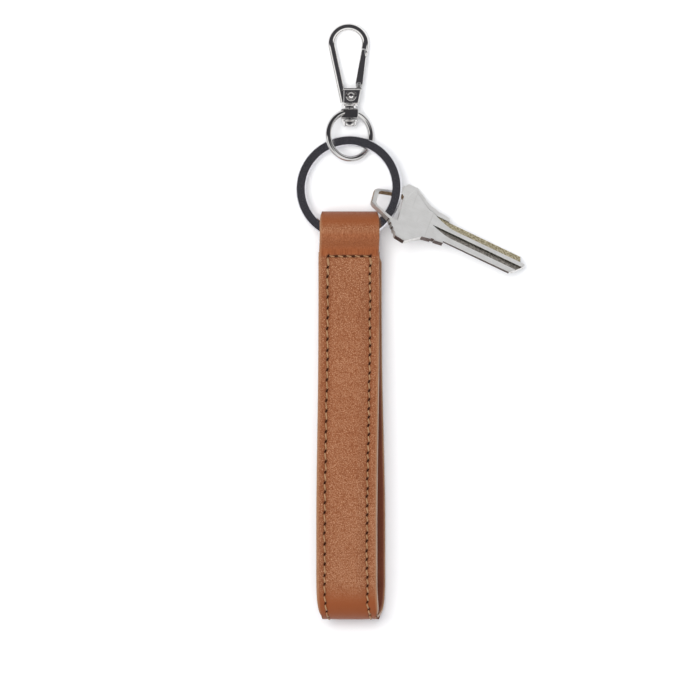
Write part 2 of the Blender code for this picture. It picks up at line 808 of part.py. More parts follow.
def arc_point(angle):
    centre = Vector((HOOK_ARC_X, HOOK_ARC_Y, 0.0))
    return centre + Vector((math.cos(angle), math.sin(angle), 0.0)) * HOOK_ARC_RADIUS


def gate_pin_place():
    """On the line that carries the hook's arc straight down through the gate."""
    end = arc_point(GATE_LEAN)
    return end - gate_direction() * (end.y - GATE_PIN_Y) / math.cos(GATE_LEAN)


def nose_root():
    """Where the gate's end meets the hook's wire."""
    return gate_pin_place() + gate_direction() * (GATE_LENGTH + NOSE_GAP)


def tongue_middle_z():
    """The hinge tongue and the spring share the gate's foot slot, the tongue at its lower side."""
    return -GATE_FOOT_SLOT / 2 + TONGUE_SIDE_GAP + TONGUE_THICKNESS / 2


def hook_base_helpers(frame, local):
    """The base, its flange and neck, and the hinge tongue."""
    half = BASE_DEPTH / 2
    low = (BASE_SIDE_OFFSET - BASE_BOTTOM_WIDTH / 2, FLANGE_TOP - FLANGE_BEVEL, -half)
    high = (BASE_SIDE_OFFSET + BASE_BOTTOM_WIDTH / 2, BASE_TOP, half)
    widening = BASE_TOP_WIDTH / BASE_BOTTOM_WIDTH
    base = box_mesh("hook_base", low, high, BASE_ROUND, widening, BASE_TOP_SHIFT)
    yield make_helper("hook_base", base, frame, local)
    bevel = FLANGE_BEVEL
    profile = (
        (0.0, FLANGE_TOP),
        (FLANGE_RADIUS - bevel, FLANGE_TOP),
        (FLANGE_RADIUS, FLANGE_TOP - bevel),
        (FLANGE_RADIUS, FLANGE_BOTTOM + bevel),
        (FLANGE_RADIUS - bevel, FLANGE_BOTTOM),
        (NECK_RADIUS, FLANGE_BOTTOM),
        (NECK_RADIUS, NECK_BOTTOM),
        (0.0, NECK_BOTTOM),
    )
    flange = profile_mesh("hook_flange", profile)
    yield turned(make_helper("hook_flange", flange, frame, local @ upright()))
    z = tongue_middle_z()
    pin = gate_pin_place() + Vector((0.0, 0.0, z))
    disc = rod_mesh("hinge_knuckle", TONGUE_RADIUS, TONGUE_THICKNESS)
    yield make_helper("hinge_knuckle", disc, frame, local @ Matrix.Translation(pin))
    side = TONGUE_RADIUS
    low = (pin.x - side, BASE_TOP - CUT_OVERRUN, z - TONGUE_THICKNESS / 2)
    high = (pin.x + side * TONGUE_ROOT_SHARE, GATE_PIN_Y, z + TONGUE_THICKNESS / 2)
    yield make_helper("hinge_tongue", box_mesh("hinge_tongue", low, high), frame, local)


def build_hook(frame, local, materials):
    wire = wire_mesh("hook_body", hook_points(), HOOK_WIRE_RADIUS, 4)
    hook = make_part("hook_body", wire, materials["hook"], frame, local)
    for helper in hook_base_helpers(frame, local):
        combine(hook, helper, "UNION")
    end = POST_END + POST_CLEARANCE
    start = NECK_BOTTOM - CUT_OVERRUN
    bore = rod_mesh("hook_bore", POST_RADIUS + POST_CLEARANCE, end - start)
    combine(hook, make_helper("hook_bore", bore, frame, local @ upright(y=(end + start) / 2)), "DIFFERENCE")
    badge = rod_mesh("badge_recess", BADGE_RADIUS, 2 * BADGE_DEPTH)
    place = Matrix.Translation((BADGE_X, BADGE_Y, BASE_DEPTH / 2))
    combine(hook, make_helper("badge_recess", badge, frame, local @ place), "DIFFERENCE")
    hole = rod_mesh("tongue_hole", GATE_PIN_RADIUS + GATE_PIN_CLEARANCE, GATE_DEPTH)
    place = Matrix.Translation(gate_pin_place())
    combine(hook, make_helper("tongue_hole", hole, frame, local @ place), "DIFFERENCE")
    wide = GATE_WIDTH
    lap = box_mesh("nose_lap", (-wide, -NOSE_LAP - wide, -wide), (NOSE_SPLIT_X, 0.0, wide))
    place = Matrix.Translation(nose_root()) @ Matrix.Rotation(GATE_LEAN, 4, "Z")
    combine(hook, make_helper("nose_lap", lap, frame, local @ place), "DIFFERENCE")
    return hook


def build_gate(frame, materials):
    """The gate's frame sits on the pin, with the gate's length along its Y."""
    radius = GATE_WIDTH / 2
    lap_x = NOSE_SPLIT_X - NOSE_GAP
    lap_y = GATE_LENGTH - NOSE_LAP
    outline = [(radius, lap_y), (lap_x, lap_y), (lap_x, GATE_LENGTH), (-radius, GATE_LENGTH)]
    steps = 8
    for i in range(steps + 1):
        angle = math.pi * (1.0 + i / steps)
        outline.append((radius * math.cos(angle), radius * math.sin(angle)))
    mesh = prism_mesh("gate", outline, GATE_DEPTH / 2)
    gate = make_part("gate", mesh, materials["hook"], frame)
    weld = gate.modifiers.new("weld", "WELD")
    weld.merge_threshold = WELD_DISTANCE
    bevel = gate.modifiers.new("rounded", "BEVEL")
    bevel.width = GATE_ROUND
    bevel.segments = 2
    bevel.limit_method = "ANGLE"
    bevel.angle_limit = SMOOTH_ANGLE
    wide = GATE_WIDTH
    slot = GATE_FOOT_SLOT / 2
    foot = box_mesh("foot_slot", (-wide, -wide, -slot), (wide, GATE_FOOT_SLOT_HEIGHT - radius, slot))
    combine(gate, make_helper("foot_slot", foot, frame), "DIFFERENCE")
    hole = rod_mesh("gate_hole", GATE_PIN_RADIUS + GATE_PIN_CLEARANCE, GATE_DEPTH + 2 * CUT_OVERRUN)
    combine(gate, make_helper("gate_hole", hole, frame), "DIFFERENCE")
    return gate


def build_gate_pin(frame, local, materials):
    length = GATE_DEPTH - 2 * GATE_PIN_RECESS
    place = local @ Matrix.Translation(gate_pin_place())
    mesh = rod_mesh("gate_pin", GATE_PIN_RADIUS, length, PIN_STEPS)
    return make_part("gate_pin", mesh, materials["pin"], frame, place)


def build_gate_spring(frame, local, materials):
    """Coils round the pin beside the tongue, with one leg to the base and one up the gate."""
    z = tongue_middle_z() + TONGUE_THICKNESS / 2 + SPRING_SIDE_GAP + SPRING_WIRE_RADIUS
    steps = round(10 * SPRING_TURNS)
    start = math.pi
    coil = []
    for i in range(steps + 1):
        share = i / steps
        angle = start + math.tau * SPRING_TURNS * share
        height = z + SPRING_PITCH * SPRING_TURNS * share
        out = Vector((math.cos(angle), math.sin(angle), 0.0))
        coil.append(out * SPRING_COIL_RADIUS + Vector((0.0, 0.0, height)))
    leg = Vector((0.0, SPRING_LEG, 0.0))
    first = coil[0] + leg
    last = coil[-1] + Vector((-SPRING_LEG / 2, 0.0, 0.0))
    mesh = wire_mesh("gate_spring", [first] + coil + [last], SPRING_WIRE_RADIUS, 1)
    place = local @ Matrix.Translation(gate_pin_place())
    return make_part("gate_spring", mesh, materials["pin"], frame, place)


def notched(start, end, count, notch_share):
    """An edge from start to end with square notches cut to its right, as seen along it."""
    along = (end - start).normalized()
    inward = Vector((along.y, -along.x))
    pitch = (end - start).length / (count + 1.0 - notch_share)
    points = [start]
    for i in range(count):
        here = start + along * pitch * (i + 1.0 - notch_share)
        there = start + along * pitch * (i + 1.0)
        points += [here, here + inward * NOTCH_DEPTH, there + inward * NOTCH_DEPTH, there]
    return points + [end]


def skewed(points):
    """The bow's points, its two sides set a little apart along the key."""
    return [Vector((p[0] - BOW_SKEW * p[1] / BOW_WIDE_HALF, p[1])) for p in points]


def key_outline():
    """One side of the bow with its notches, the blade, and the other side mirrored."""
    end = Vector((0.0, BOW_END_HALF - BOW_CORNER))
    corner = Vector((BOW_CORNER, BOW_END_HALF))
    neck = Vector((BOW_NECK_S, BOW_NECK_HALF))
    wide = Vector((BOW_WIDE_START_S, BOW_WIDE_HALF))
    far = Vector((BOW_WIDE_END_S, BOW_WIDE_HALF))
    waist = Vector((BOW_WAIST_S, BOW_WAIST_HALF))
    shoulder = Vector((SHOULDER_S, SHOULDER_HALF))
    side = [end, corner] + notched(neck, wide, FLANK_NOTCHES, FLANK_NOTCH_SHARE)
    side += [far] + notched(waist, shoulder, SHOULDER_NOTCHES, SHOULDER_NOTCH_SHARE)
    upper = skewed(side) + [
        Vector((SHOULDER_S, BLADE_UPPER)),
        Vector((TIP_UPPER_S, BLADE_UPPER)),
        Vector((KEY_LENGTH, TIP_NOSE_HALF)),
    ]
    lower = skewed((p.x, -p.y) for p in side)
    lower += [
        Vector((SHOULDER_S, BLADE_LOWER)),
        Vector((TIP_LOWER_S, BLADE_LOWER)),
        Vector((KEY_LENGTH, -TIP_NOSE_HALF)),
    ]
    return upper + lower[::-1]


def key_hole_outline():
    """A slot that widens towards the middle of the bow, with clipped corners."""
    clip = HOLE_CORNER
    half = [
        (HOLE_START_S, HOLE_START_HALF - clip),
        (HOLE_START_S + clip, HOLE_START_HALF),
        (HOLE_END_S - clip, HOLE_END_HALF),
        (HOLE_END_S, HOLE_END_HALF - clip),
    ]
    return skewed(half + [(x, -y) for x, y in reversed(half)])


def key_panel_outline():
    """The sunk field of the bow, a constant margin inside its edge."""
    margin = PANEL_MARGIN
    half = [
        (PANEL_START_S, HOLE_END_HALF),
        (PANEL_START_S + margin, BOW_WIDE_HALF - margin),
        (BOW_WIDE_END_S, BOW_WIDE_HALF - margin),
        (BOW_WAIST_S, BOW_WAIST_HALF - margin),
        (PANEL_END_S, SHOULDER_HALF - margin),
    ]
    return skewed(half + [(x, -y) for x, y in reversed(half)])


def groove_outline(top, bottom):
    """A milled groove that comes to a point where the cutter ran in."""
    end = KEY_LENGTH + CUT_OVERRUN
    middle = (top + bottom) / 2
    full = GROOVE_START_S + GROOVE_RUN_IN
    return [(GROOVE_START_S, middle), (full, bottom), (end, bottom), (end, top), (full, top)]


def relief_outline():
    """The back of the blade is milled thinner along its lower edge."""
    end = KEY_LENGTH + CUT_OVERRUN
    low = BLADE_LOWER - CUT_OVERRUN
    start = SHOULDER_S + NOTCH_DEPTH
    return [(start, low), (end, low), (end, RELIEF_TOP), (start, RELIEF_TOP)]


def build_key(frame, local, materials):
    mesh = prism_mesh("key", key_outline(), KEY_THICKNESS / 2)
    key = make_part("key", mesh, materials["key"], frame, local)
    face = KEY_THICKNESS / 2
    cuts = {
        "key_hole": (key_hole_outline(), 0.0, KEY_THICKNESS),
        "key_panel_front": (key_panel_outline(), face, PANEL_DEPTH),
        "key_panel_back": (key_panel_outline(), -face, PANEL_DEPTH),
        "upper_groove": (groove_outline(BLADE_UPPER + CUT_OVERRUN, UPPER_GROOVE_BOTTOM), face, GROOVE_DEPTH),
        "lower_groove": (groove_outline(LOWER_GROOVE_TOP, LOWER_GROOVE_BOTTOM), face, GROOVE_DEPTH),
        "back_groove": (groove_outline(BACK_GROOVE_TOP, BACK_GROOVE_BOTTOM), -face, GROOVE_DEPTH),
        "edge_relief": (relief_outline(), -face, KEY_THICKNESS - RELIEF_LAND),
    }
    for name, (shape, lift, half) in cuts.items():
        combine(key, make_helper(name, prism_mesh(name, shape, half, lift), frame, local), "DIFFERENCE")
    return key


def ring_frame_matrix():
    """The ring leans from the leather eye down to its far side and a little to one side."""
    reach = RING_CENTRE_Y + ring_mid_radius() - KEEPER_AXIS_Y
    incline = math.asin((KEEPER_AXIS_Z - RING_TOP_Z) / reach)
    turn = Matrix.Rotation(-incline, 4, "X") @ Matrix.Rotation(-RING_ROLL, 4, "Y")
    return Matrix.Translation((0.0, KEEPER_AXIS_Y, KEEPER_AXIS_Z)) @ turn


def ring_point(angle):
    """The middle of the ring's wire at this angle, in the world."""
    centre = Vector((0.0, RING_CENTRE_Y - KEEPER_AXIS_Y, 0.0))
    out = Vector((math.cos(angle), math.sin(angle), 0.0))
    return ring_frame_matrix() @ (centre + out * ring_mid_radius())


def eye_frame_matrix():
    """On the ring's wire, turned so that the hook's tip comes down to the table."""
    band = ring_point(math.pi / 2)
    return Matrix.Translation(band) @ hook_pitch()


def hook_pitch():
    """The turn that brings the hook's far end down to the table."""
    drop = eye_centre_height() - HOOK_TIP_REST
    return Matrix.Rotation(-math.asin(drop / (HOOK_ARC_Y + HOOK_ARC_RADIUS)), 4, "X")


def eye_centre_height():
    reach = EYE_OUTER_RADIUS - EYE_WIRE_RADIUS
    return EYE_FLOOR_GAP + EYE_WIRE_RADIUS + reach * math.sin(EYE_ROLL)


def eye_local_matrix():
    """The eye's centre as seen from the ring's wire."""
    rise = eye_centre_height() - ring_point(math.pi / 2).z
    offset = Vector((EYE_SIDE_OFFSET, EYE_ALONG_BAND, rise))
    return Matrix.Translation(hook_pitch().inverted() @ offset)


def key_frame_matrix():
    at = ring_point(KEY_THREAD_ANGLE)
    turn = Matrix.Rotation(KEY_HEADING, 4, "Z") @ Matrix.Rotation(KEY_SLOPE, 4, "Y")
    shift = Matrix.Translation((0.0, KEY_SIDE_SHIFT, -KEY_DROP))
    return Matrix.Translation(at) @ turn @ Matrix.Rotation(-KEY_TILT, 4, "X") @ shift


def main():
    clear_scene()
    make_collection(PARTS)
    make_collection(CUTTERS)
    materials = {
        "leather": make_material("tan_leather", (0.38, 0.13, 0.055), 0.5, 0.0),
        "lining": make_material("lining_leather", (0.17, 0.05, 0.025), 0.6, 0.0),
        "core": make_material("strap_filler", (0.3, 0.2, 0.12), 0.9, 0.0),
        "thread": make_material("stitch_thread", (0.55, 0.3, 0.13), 0.7, 0.0),
        "ring": make_material("black_nickel", (0.08, 0.085, 0.1), 0.2, 1.0),
        "hook": make_material("gunmetal_chrome", (0.3, 0.3, 0.31), 0.12, 1.0),
        "pin": make_material("steel_pin", (0.5, 0.5, 0.5), 0.3, 1.0),
        "key": make_material("nickel_silver", (0.6, 0.59, 0.56), 0.35, 1.0),
    }
    build_leather(materials)
    ring_frame = make_frame("ring_pivot", ring_frame_matrix())
    build_key_ring(ring_frame, materials)
    eye_frame = make_frame("eye_pivot", eye_frame_matrix())
    centre = eye_local_matrix()
    build_eye(eye_frame, centre, materials)
    hook_frame = make_frame("hook_swivel", centre, eye_frame)
    still = Matrix.Identity(4)
    build_hook(hook_frame, still, materials)
    build_post(hook_frame, still, materials)
    build_gate_pin(hook_frame, still, materials)
    build_gate_spring(hook_frame, still, materials)
    gate_place = Matrix.Translation(gate_pin_place()) @ Matrix.Rotation(GATE_LEAN, 4, "Z")
    build_gate(make_frame("gate_pivot", gate_place, hook_frame), materials)
    key_frame = make_frame("key_pivot", key_frame_matrix())
    build_key(key_frame, Matrix.Translation((-KEY_THREAD_S, 0.0, 0.0)), materials)
    bpy.context.view_layer.update()


main()
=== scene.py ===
"""Looks of the loop keychain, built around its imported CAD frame.

A stitched tan leather wrist loop with a split ring, a swivel snap hook and a house key, seen from straight
above on a pale table. All lengths are in metres, in the frame of the CAD part.
"""

from __future__ import annotations

import bisect
import logging
import math
import random
from dataclasses import dataclass, field
from enum import Enum
from typing import Callable, Iterable, Sequence

import bmesh
import bpy
from mathutils import Matrix, Vector


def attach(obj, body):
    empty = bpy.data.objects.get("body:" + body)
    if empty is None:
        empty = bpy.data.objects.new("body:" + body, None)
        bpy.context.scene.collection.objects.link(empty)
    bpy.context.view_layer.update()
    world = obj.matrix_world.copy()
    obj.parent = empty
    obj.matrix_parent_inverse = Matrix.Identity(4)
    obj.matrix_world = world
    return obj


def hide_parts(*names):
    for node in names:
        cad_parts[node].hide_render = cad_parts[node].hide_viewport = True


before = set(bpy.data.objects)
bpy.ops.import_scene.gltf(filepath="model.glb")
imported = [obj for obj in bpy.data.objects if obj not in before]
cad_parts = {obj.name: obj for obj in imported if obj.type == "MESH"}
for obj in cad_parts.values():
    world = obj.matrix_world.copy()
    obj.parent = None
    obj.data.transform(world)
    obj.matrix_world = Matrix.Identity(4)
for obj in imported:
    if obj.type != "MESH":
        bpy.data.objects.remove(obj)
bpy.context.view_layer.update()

LOG = logging.getLogger("loop_keychain")
MM = 0.001
SMOOTH_ANGLE = math.radians(35.0)
SOFT_ANGLE = math.radians(60.0)
KEEPER_AXIS_Y = 72.75 * MM
KEEPER_AXIS_Z = 8.5 * MM

Colour = tuple[float, float, float]
Section = list[tuple[float, float]]
Span = tuple[float, float]
Inputs = dict[str | int, object]


def ease(share: float) -> float:
    """A share held between 0 and 1 and eased at both ends."""
    share = min(max(share, 0.0), 1.0)
    return share * share * (3.0 - 2.0 * share)


def blend(start: float, end: float, share: float) -> float:
    """The value this share of the way from start to end."""
    return start + (end - start) * share


def bell(distance: float, reach: float) -> float:
    """1 at no distance, falling off smoothly past the reach."""
    return math.exp(-((distance / reach) ** 2))


def round_edge(radius: float, low: float, high: float, turns: int = 6) -> Section:
    """The half-round edge of a turned disc.

    Args:
        radius: the disc's radius.
        low: the height of its lower face.
        high: the height of its upper face.
        turns: how many parts the edge has.

    Returns:
        The edge as radii and heights, from the top down.
    """
    edge = (high - low) / 2
    angles = [math.pi * i / turns for i in range(turns + 1)]
    return [(radius - edge + edge * math.sin(a), low + edge * (1.0 + math.cos(a))) for a in angles]


def skin_faces(start: int, rings: int, count: int) -> list[tuple[int, ...]]:
    """The faces of a closed skin over rings of points.

    Args:
        start: the index of the first ring's first point.
        rings: how many rings there are.
        count: how many points each ring has.

    Returns:
        Each band's faces in order, then the two ends.
    """
    faces: list[tuple[int, ...]] = []
    for low in range(start, start + (rings - 1) * count, count):
        for j in range(count):
            k = (j + 1) % count
            faces.append((low + j, low + k, low + count + k, low + count + j))
    last = start + (rings - 1) * count
    faces.append(tuple(range(start, start + count))[::-1])
    faces.append(tuple(range(last, last + count)))
    return faces


def reshaped(mesh: bpy.types.Mesh, change: Callable[[bmesh.types.BMesh], object]) -> bpy.types.Mesh:
    """Changes a mesh and turns its faces outwards.

    Args:
        mesh: the mesh.
        change: what is done to its shape.

    Returns:
        The same mesh.
    """
    shape = bmesh.new()
    shape.from_mesh(mesh)
    change(shape)
    bmesh.ops.recalc_face_normals(shape, faces=shape.faces)
    shape.to_mesh(mesh)
    shape.free()
    return mesh


def dressed(
    mesh: bpy.types.Mesh, materials: Sequence[bpy.types.Material], sharp: float = SOFT_ANGLE
) -> bpy.types.Mesh:
    """Gives a mesh its materials and its shading.

    Args:
        mesh: the mesh.
        materials: its materials, in the order of their indices.
        sharp: the angle from which an edge is sharp.

    Returns:
        The same mesh.
    """
    mesh.materials.clear()
    for material in materials:
        mesh.materials.append(material)
    mesh.shade_smooth()
    mesh.set_sharp_from_angle(angle=sharp)
    return mesh


class Side(Enum):
    """The two long edges of the strap, by the sign of X."""

    LEFT = -1
    RIGHT = 1


class Layer(Enum):
    """The faces of the leather strip, by material index."""

    GRAIN = 0
    EDGE = 1
    FLESH = 2


class KeyFace(Enum):
    """The faces of the key, by material index, in the order of its finishes."""

    FACE = 0
    # Lower edge walls, given a dark colour as painted shade
    EDGE = 1
    HOLE = 2
    UPPER_GROOVE = 3
    LOWER_GROOVE = 4
    SIDE = 5


class Graph:
    """A shader node tree that is filled by short calls."""

    def __init__(self, tree: bpy.types.NodeTree) -> None:
        """Holds the tree that the nodes go into."""
        self.tree = tree

    def add(self, kind: str, inputs: Inputs | None = None, **settings: object) -> bpy.types.Node:
        """Adds a node.

        Args:
            kind: the node's type name.
            inputs: a value, or a socket to link from, for each named or numbered input.
            **settings: the node's own properties.

        Returns:
            The new node.
        """
        node = self.tree.nodes.new(kind)
        for name, value in settings.items():
            setattr(node, name, value)
        for name, value in (inputs or {}).items():
            self.fill(node.inputs[name], value)
        return node

    def fill(self, socket: bpy.types.NodeSocket, value: object) -> None:
        """Links an input to another socket, or sets its value.

        Args:
            socket: the input.
            value: the other socket, or the value.
        """
        if isinstance(value, bpy.types.NodeSocket):
            self.tree.links.new(value, socket)
        else:
            socket.default_value = value

    def math(self, operation: str, *values: object) -> bpy.types.NodeSocket:
        """Adds a Math node.

        Args:
            operation: the operation's name.
            *values: numbers or sockets, in order.

        Returns:
            The node's result.
        """
        return self.add("ShaderNodeMath", dict(enumerate(values)), operation=operation).outputs[0]

    def noise(self, place: object, scale: object, detail: float, **inputs: object) -> bpy.types.Node:
        """Adds a noise texture.

        Args:
            place: where it is read.
            scale: its scale.
            detail: how many finer layers it has.
            **inputs: its other inputs.

        Returns:
            The node.
        """
        return self.add("ShaderNodeTexNoise", {"Vector": place, "Scale": scale, "Detail": detail, **inputs})

    def ramp(self, value: object, stops: Sequence[tuple[float, Colour]]) -> bpy.types.NodeSocket:
        """Adds a colour ramp.

        Args:
            value: the socket that drives it.
            stops: place and colour of each stop.

        Returns:
            The ramp's colour.
        """
        node = self.add("ShaderNodeValToRGB", {0: value})
        elements = node.color_ramp.elements
        while len(elements) < len(stops):
            elements.new(0.5)
        for element, (place, colour) in zip(elements, stops):
            element.position = place
            element.color = (*colour, 1.0)
        return node.outputs[0]

    def fit(
        self, value: object, low: float, high: float, to_low: float = 0.0, to_high: float = 1.0
    ) -> bpy.types.NodeSocket:
        """Maps a range of values to another one, held at both ends.

        Args:
            value: the socket to map.
            low: what becomes to_low.
            high: what becomes to_high.
            to_low: the lower result.
            to_high: the upper result.

        Returns:
            The mapped value.
        """
        inputs = {0: value, 1: low, 2: high, 3: to_low, 4: to_high}
        return self.add("ShaderNodeMapRange", inputs, clamp=True).outputs[0]

    def mix(self, share: object, first: object, second: object) -> bpy.types.NodeSocket:
        """Mixes two colours.

        Args:
            share: how much of the second colour.
            first: a colour or socket.
            second: a colour or socket.

        Returns:
            The mixed colour.
        """
        node = self.add("ShaderNodeMix", {0: share}, data_type="RGBA")
        for index, value in ((6, first), (7, second)):
            self.fill(node.inputs[index], value if isinstance(value, bpy.types.NodeSocket) else (*value, 1.0))
        return node.outputs[2]


class EffectGroup:
    """A shader node group with named inputs and outputs, built once."""

    def __init__(self, name: str, inputs: dict[str, float | None], outputs: Sequence[str]) -> None:
        """Makes the group's sockets.

        Args:
            name: the group's name.
            inputs: each input's default, or None for a vector.
            outputs: the names of the float outputs.
        """
        self.tree = bpy.data.node_groups.new(name, "ShaderNodeTree")
        for socket, default in inputs.items():
            kind = "NodeSocketVector" if default is None else "NodeSocketFloat"
            made = self.tree.interface.new_socket(socket, in_out="INPUT", socket_type=kind)
            if default is not None:
                made.default_value = default
        for socket in outputs:
            self.tree.interface.new_socket(socket, in_out="OUTPUT", socket_type="NodeSocketFloat")
        self.graph = Graph(self.tree)
        self.inputs = self.graph.add("NodeGroupInput").outputs
        self.result = self.graph.add("NodeGroupOutput").inputs

    def put(self, name: str, value: bpy.types.NodeSocket) -> None:
        """Links a value to the named output."""
        self.tree.links.new(value, self.result[name])


@dataclass
class Effects:
    """The effects that several finishes share, each a group that is built once."""

    warp_scale: float = 900.0
    warp_reach: float = 0.3 * MM
    cell_randomness: float = 0.9
    pebble_edge: float = 0.25
    pore_scale: float = 2.6
    pore_detail: float = 3.0
    tone_scale: float = 2600.0
    tone_range: Span = (0.28, 0.72)
    tone_share: float = 0.6
    streak_range: Span = (0.3, 0.7)
    cloud_detail: float = 4.0
    cloud_roughness: float = 0.55
    scratch_turns: Span = (0.6, -0.9)
    scratch_stretch: float = 0.05
    scratch_range: Span = (0.62, 0.72)
    soft_detail: float = 2.0

    def __post_init__(self) -> None:
        """Builds every group once."""
        self.grain = self._grain()
        self.streaks = self._streaks()
        self.mottle = self._mottle()
        self.scratches = self._scratches()

    def _grain(self) -> EffectGroup:
        """Pebbled leather grain with fine pores.

        Returns:
            The group.
        """
        inputs: dict[str, float | None] = {"Place": None, "Scale": 1500.0, "Pores": 0.35}
        group = EffectGroup("leather_grain", inputs, ("Height", "Tone"))
        graph, given = group.graph, group.inputs
        bend = graph.noise(given["Place"], self.warp_scale, self.soft_detail).outputs["Color"]
        offset = graph.add("ShaderNodeVectorMath", {0: bend, "Scale": self.warp_reach}, operation="SCALE")
        sides: Inputs = {0: given["Place"], 1: offset.outputs[0]}
        place = graph.add("ShaderNodeVectorMath", sides, operation="ADD").outputs[0]
        cell: Inputs = {"Vector": place, "Scale": given["Scale"], "Randomness": self.cell_randomness}
        cells = graph.add("ShaderNodeTexVoronoi", cell, feature="DISTANCE_TO_EDGE")
        pebble = graph.fit(cells.outputs["Distance"], 0.0, self.pebble_edge)
        fine = graph.noise(place, graph.math("MULTIPLY", given["Scale"], self.pore_scale), self.pore_detail)
        pores = graph.math("MULTIPLY", fine.outputs[0], given["Pores"])
        group.put("Height", graph.math("ADD", pebble, pores))
        tone = graph.noise(place, self.tone_scale, self.soft_detail).outputs[0]
        tone = graph.fit(tone, *self.tone_range, 0.0, self.tone_share)
        group.put("Tone", graph.math("MULTIPLY_ADD", pebble, 1.0 - self.tone_share, tone))
        return group

    def _streaks(self) -> EffectGroup:
        """Fine lines along Y, as stretched leather or a drawn or milled surface has.

        Returns:
            The group.
        """
        inputs: dict[str, float | None] = {"Place": None, "Across": 1800.0, "Along": 90.0}
        group = EffectGroup("long_streaks", inputs, ("Height",))
        graph, given = group.graph, group.inputs
        axes: Inputs = {0: given["Across"], 1: given["Along"], 2: given["Across"]}
        sides: Inputs = {0: given["Place"], 1: graph.add("ShaderNodeCombineXYZ", axes).outputs[0]}
        place = graph.add("ShaderNodeVectorMath", sides, operation="MULTIPLY").outputs[0]
        lines = graph.noise(place, 1.0, self.pore_detail).outputs[0]
        group.put("Height", graph.fit(lines, *self.streak_range))
        return group

    def _mottle(self) -> EffectGroup:
        """Soft cloudy variation, for handling marks, tanning and dust.

        Returns:
            The group.
        """
        inputs: dict[str, float | None] = {"Place": None, "Scale": 60.0, "Low": 0.35, "High": 0.65}
        group = EffectGroup("soft_mottle", inputs, ("Mask",))
        graph, given = group.graph, group.inputs
        cloud = graph.noise(given["Place"], given["Scale"], self.cloud_detail, Roughness=self.cloud_roughness)
        span: Inputs = {0: cloud.outputs[0], 1: given["Low"], 2: given["High"]}
        group.put("Mask", graph.add("ShaderNodeMapRange", span, clamp=True).outputs[0])
        return group

    def _scratches(self) -> EffectGroup:
        """Hairline scratches in two directions, for handled metal.

        Returns:
            The group.
        """
        inputs: dict[str, float | None] = {"Place": None, "Scale": 700.0, "Amount": 0.5}
        group = EffectGroup("hair_scratches", inputs, ("Mask",))
        graph, given = group.graph, group.inputs
        masks = []
        for turn in self.scratch_turns:
            stretch: Inputs = {"Rotation": (0.0, 0.0, turn), "Scale": (1.0, self.scratch_stretch, 1.0)}
            place = graph.add("ShaderNodeMapping", {"Vector": given["Place"], **stretch}).outputs[0]
            lines = graph.noise(place, given["Scale"], self.soft_detail).outputs[0]
            masks.append(graph.fit(lines, *self.scratch_range))
        group.put("Mask", graph.math("MULTIPLY", graph.math("MAXIMUM", *masks), given["Amount"]))
        return group


class Surface:
    """A material with one Principled shader, and the effects placed in it."""

    def __init__(self, name: str) -> None:
        """Makes the material by this name.

        Args:
            name: the material's name.
        """
        self.material = bpy.data.materials.new(name)
        self.material.use_nodes = True
        self.graph = Graph(self.material.node_tree)
        self.shader = self.material.node_tree.nodes["Principled BSDF"]
        self.place = self.graph.add("ShaderNodeTexCoord").outputs["Object"]

    def effect(self, group: EffectGroup, **values: float) -> bpy.types.bpy_prop_collection:
        """Places a shared group.

        Args:
            group: the effect.
            **values: its inputs, by their names in lower case.

        Returns:
            The group's outputs.
        """
        inputs: Inputs = {name.capitalize(): value for name, value in values.items()}
        inputs["Place"] = self.place
        return self.graph.add("ShaderNodeGroup", inputs, node_tree=group.tree).outputs

    def feed(self, **sockets: object) -> None:
        """Sets or links the shader's inputs, by their names with spaces as underscores."""
        for name, value in sockets.items():
            self.graph.fill(self.shader.inputs[name.replace("_", " ")], value)

    def bump(self, height: bpy.types.NodeSocket, depth: float, strength: float = 1.0) -> None:
        """Feeds a height to the shader's normal.

        Args:
            height: the height from 0 to 1.
            depth: the real depth of that height.
            strength: the bump's strength.
        """
        inputs = {"Height": height, "Distance": depth, "Strength": strength}
        self.feed(Normal=self.graph.add("ShaderNodeBump", inputs).outputs[0])

    def attribute(self, name: str) -> bpy.types.NodeSocket:
        """The value of a mesh attribute."""
        return self.graph.add("ShaderNodeAttribute", attribute_name=name).outputs["Fac"]


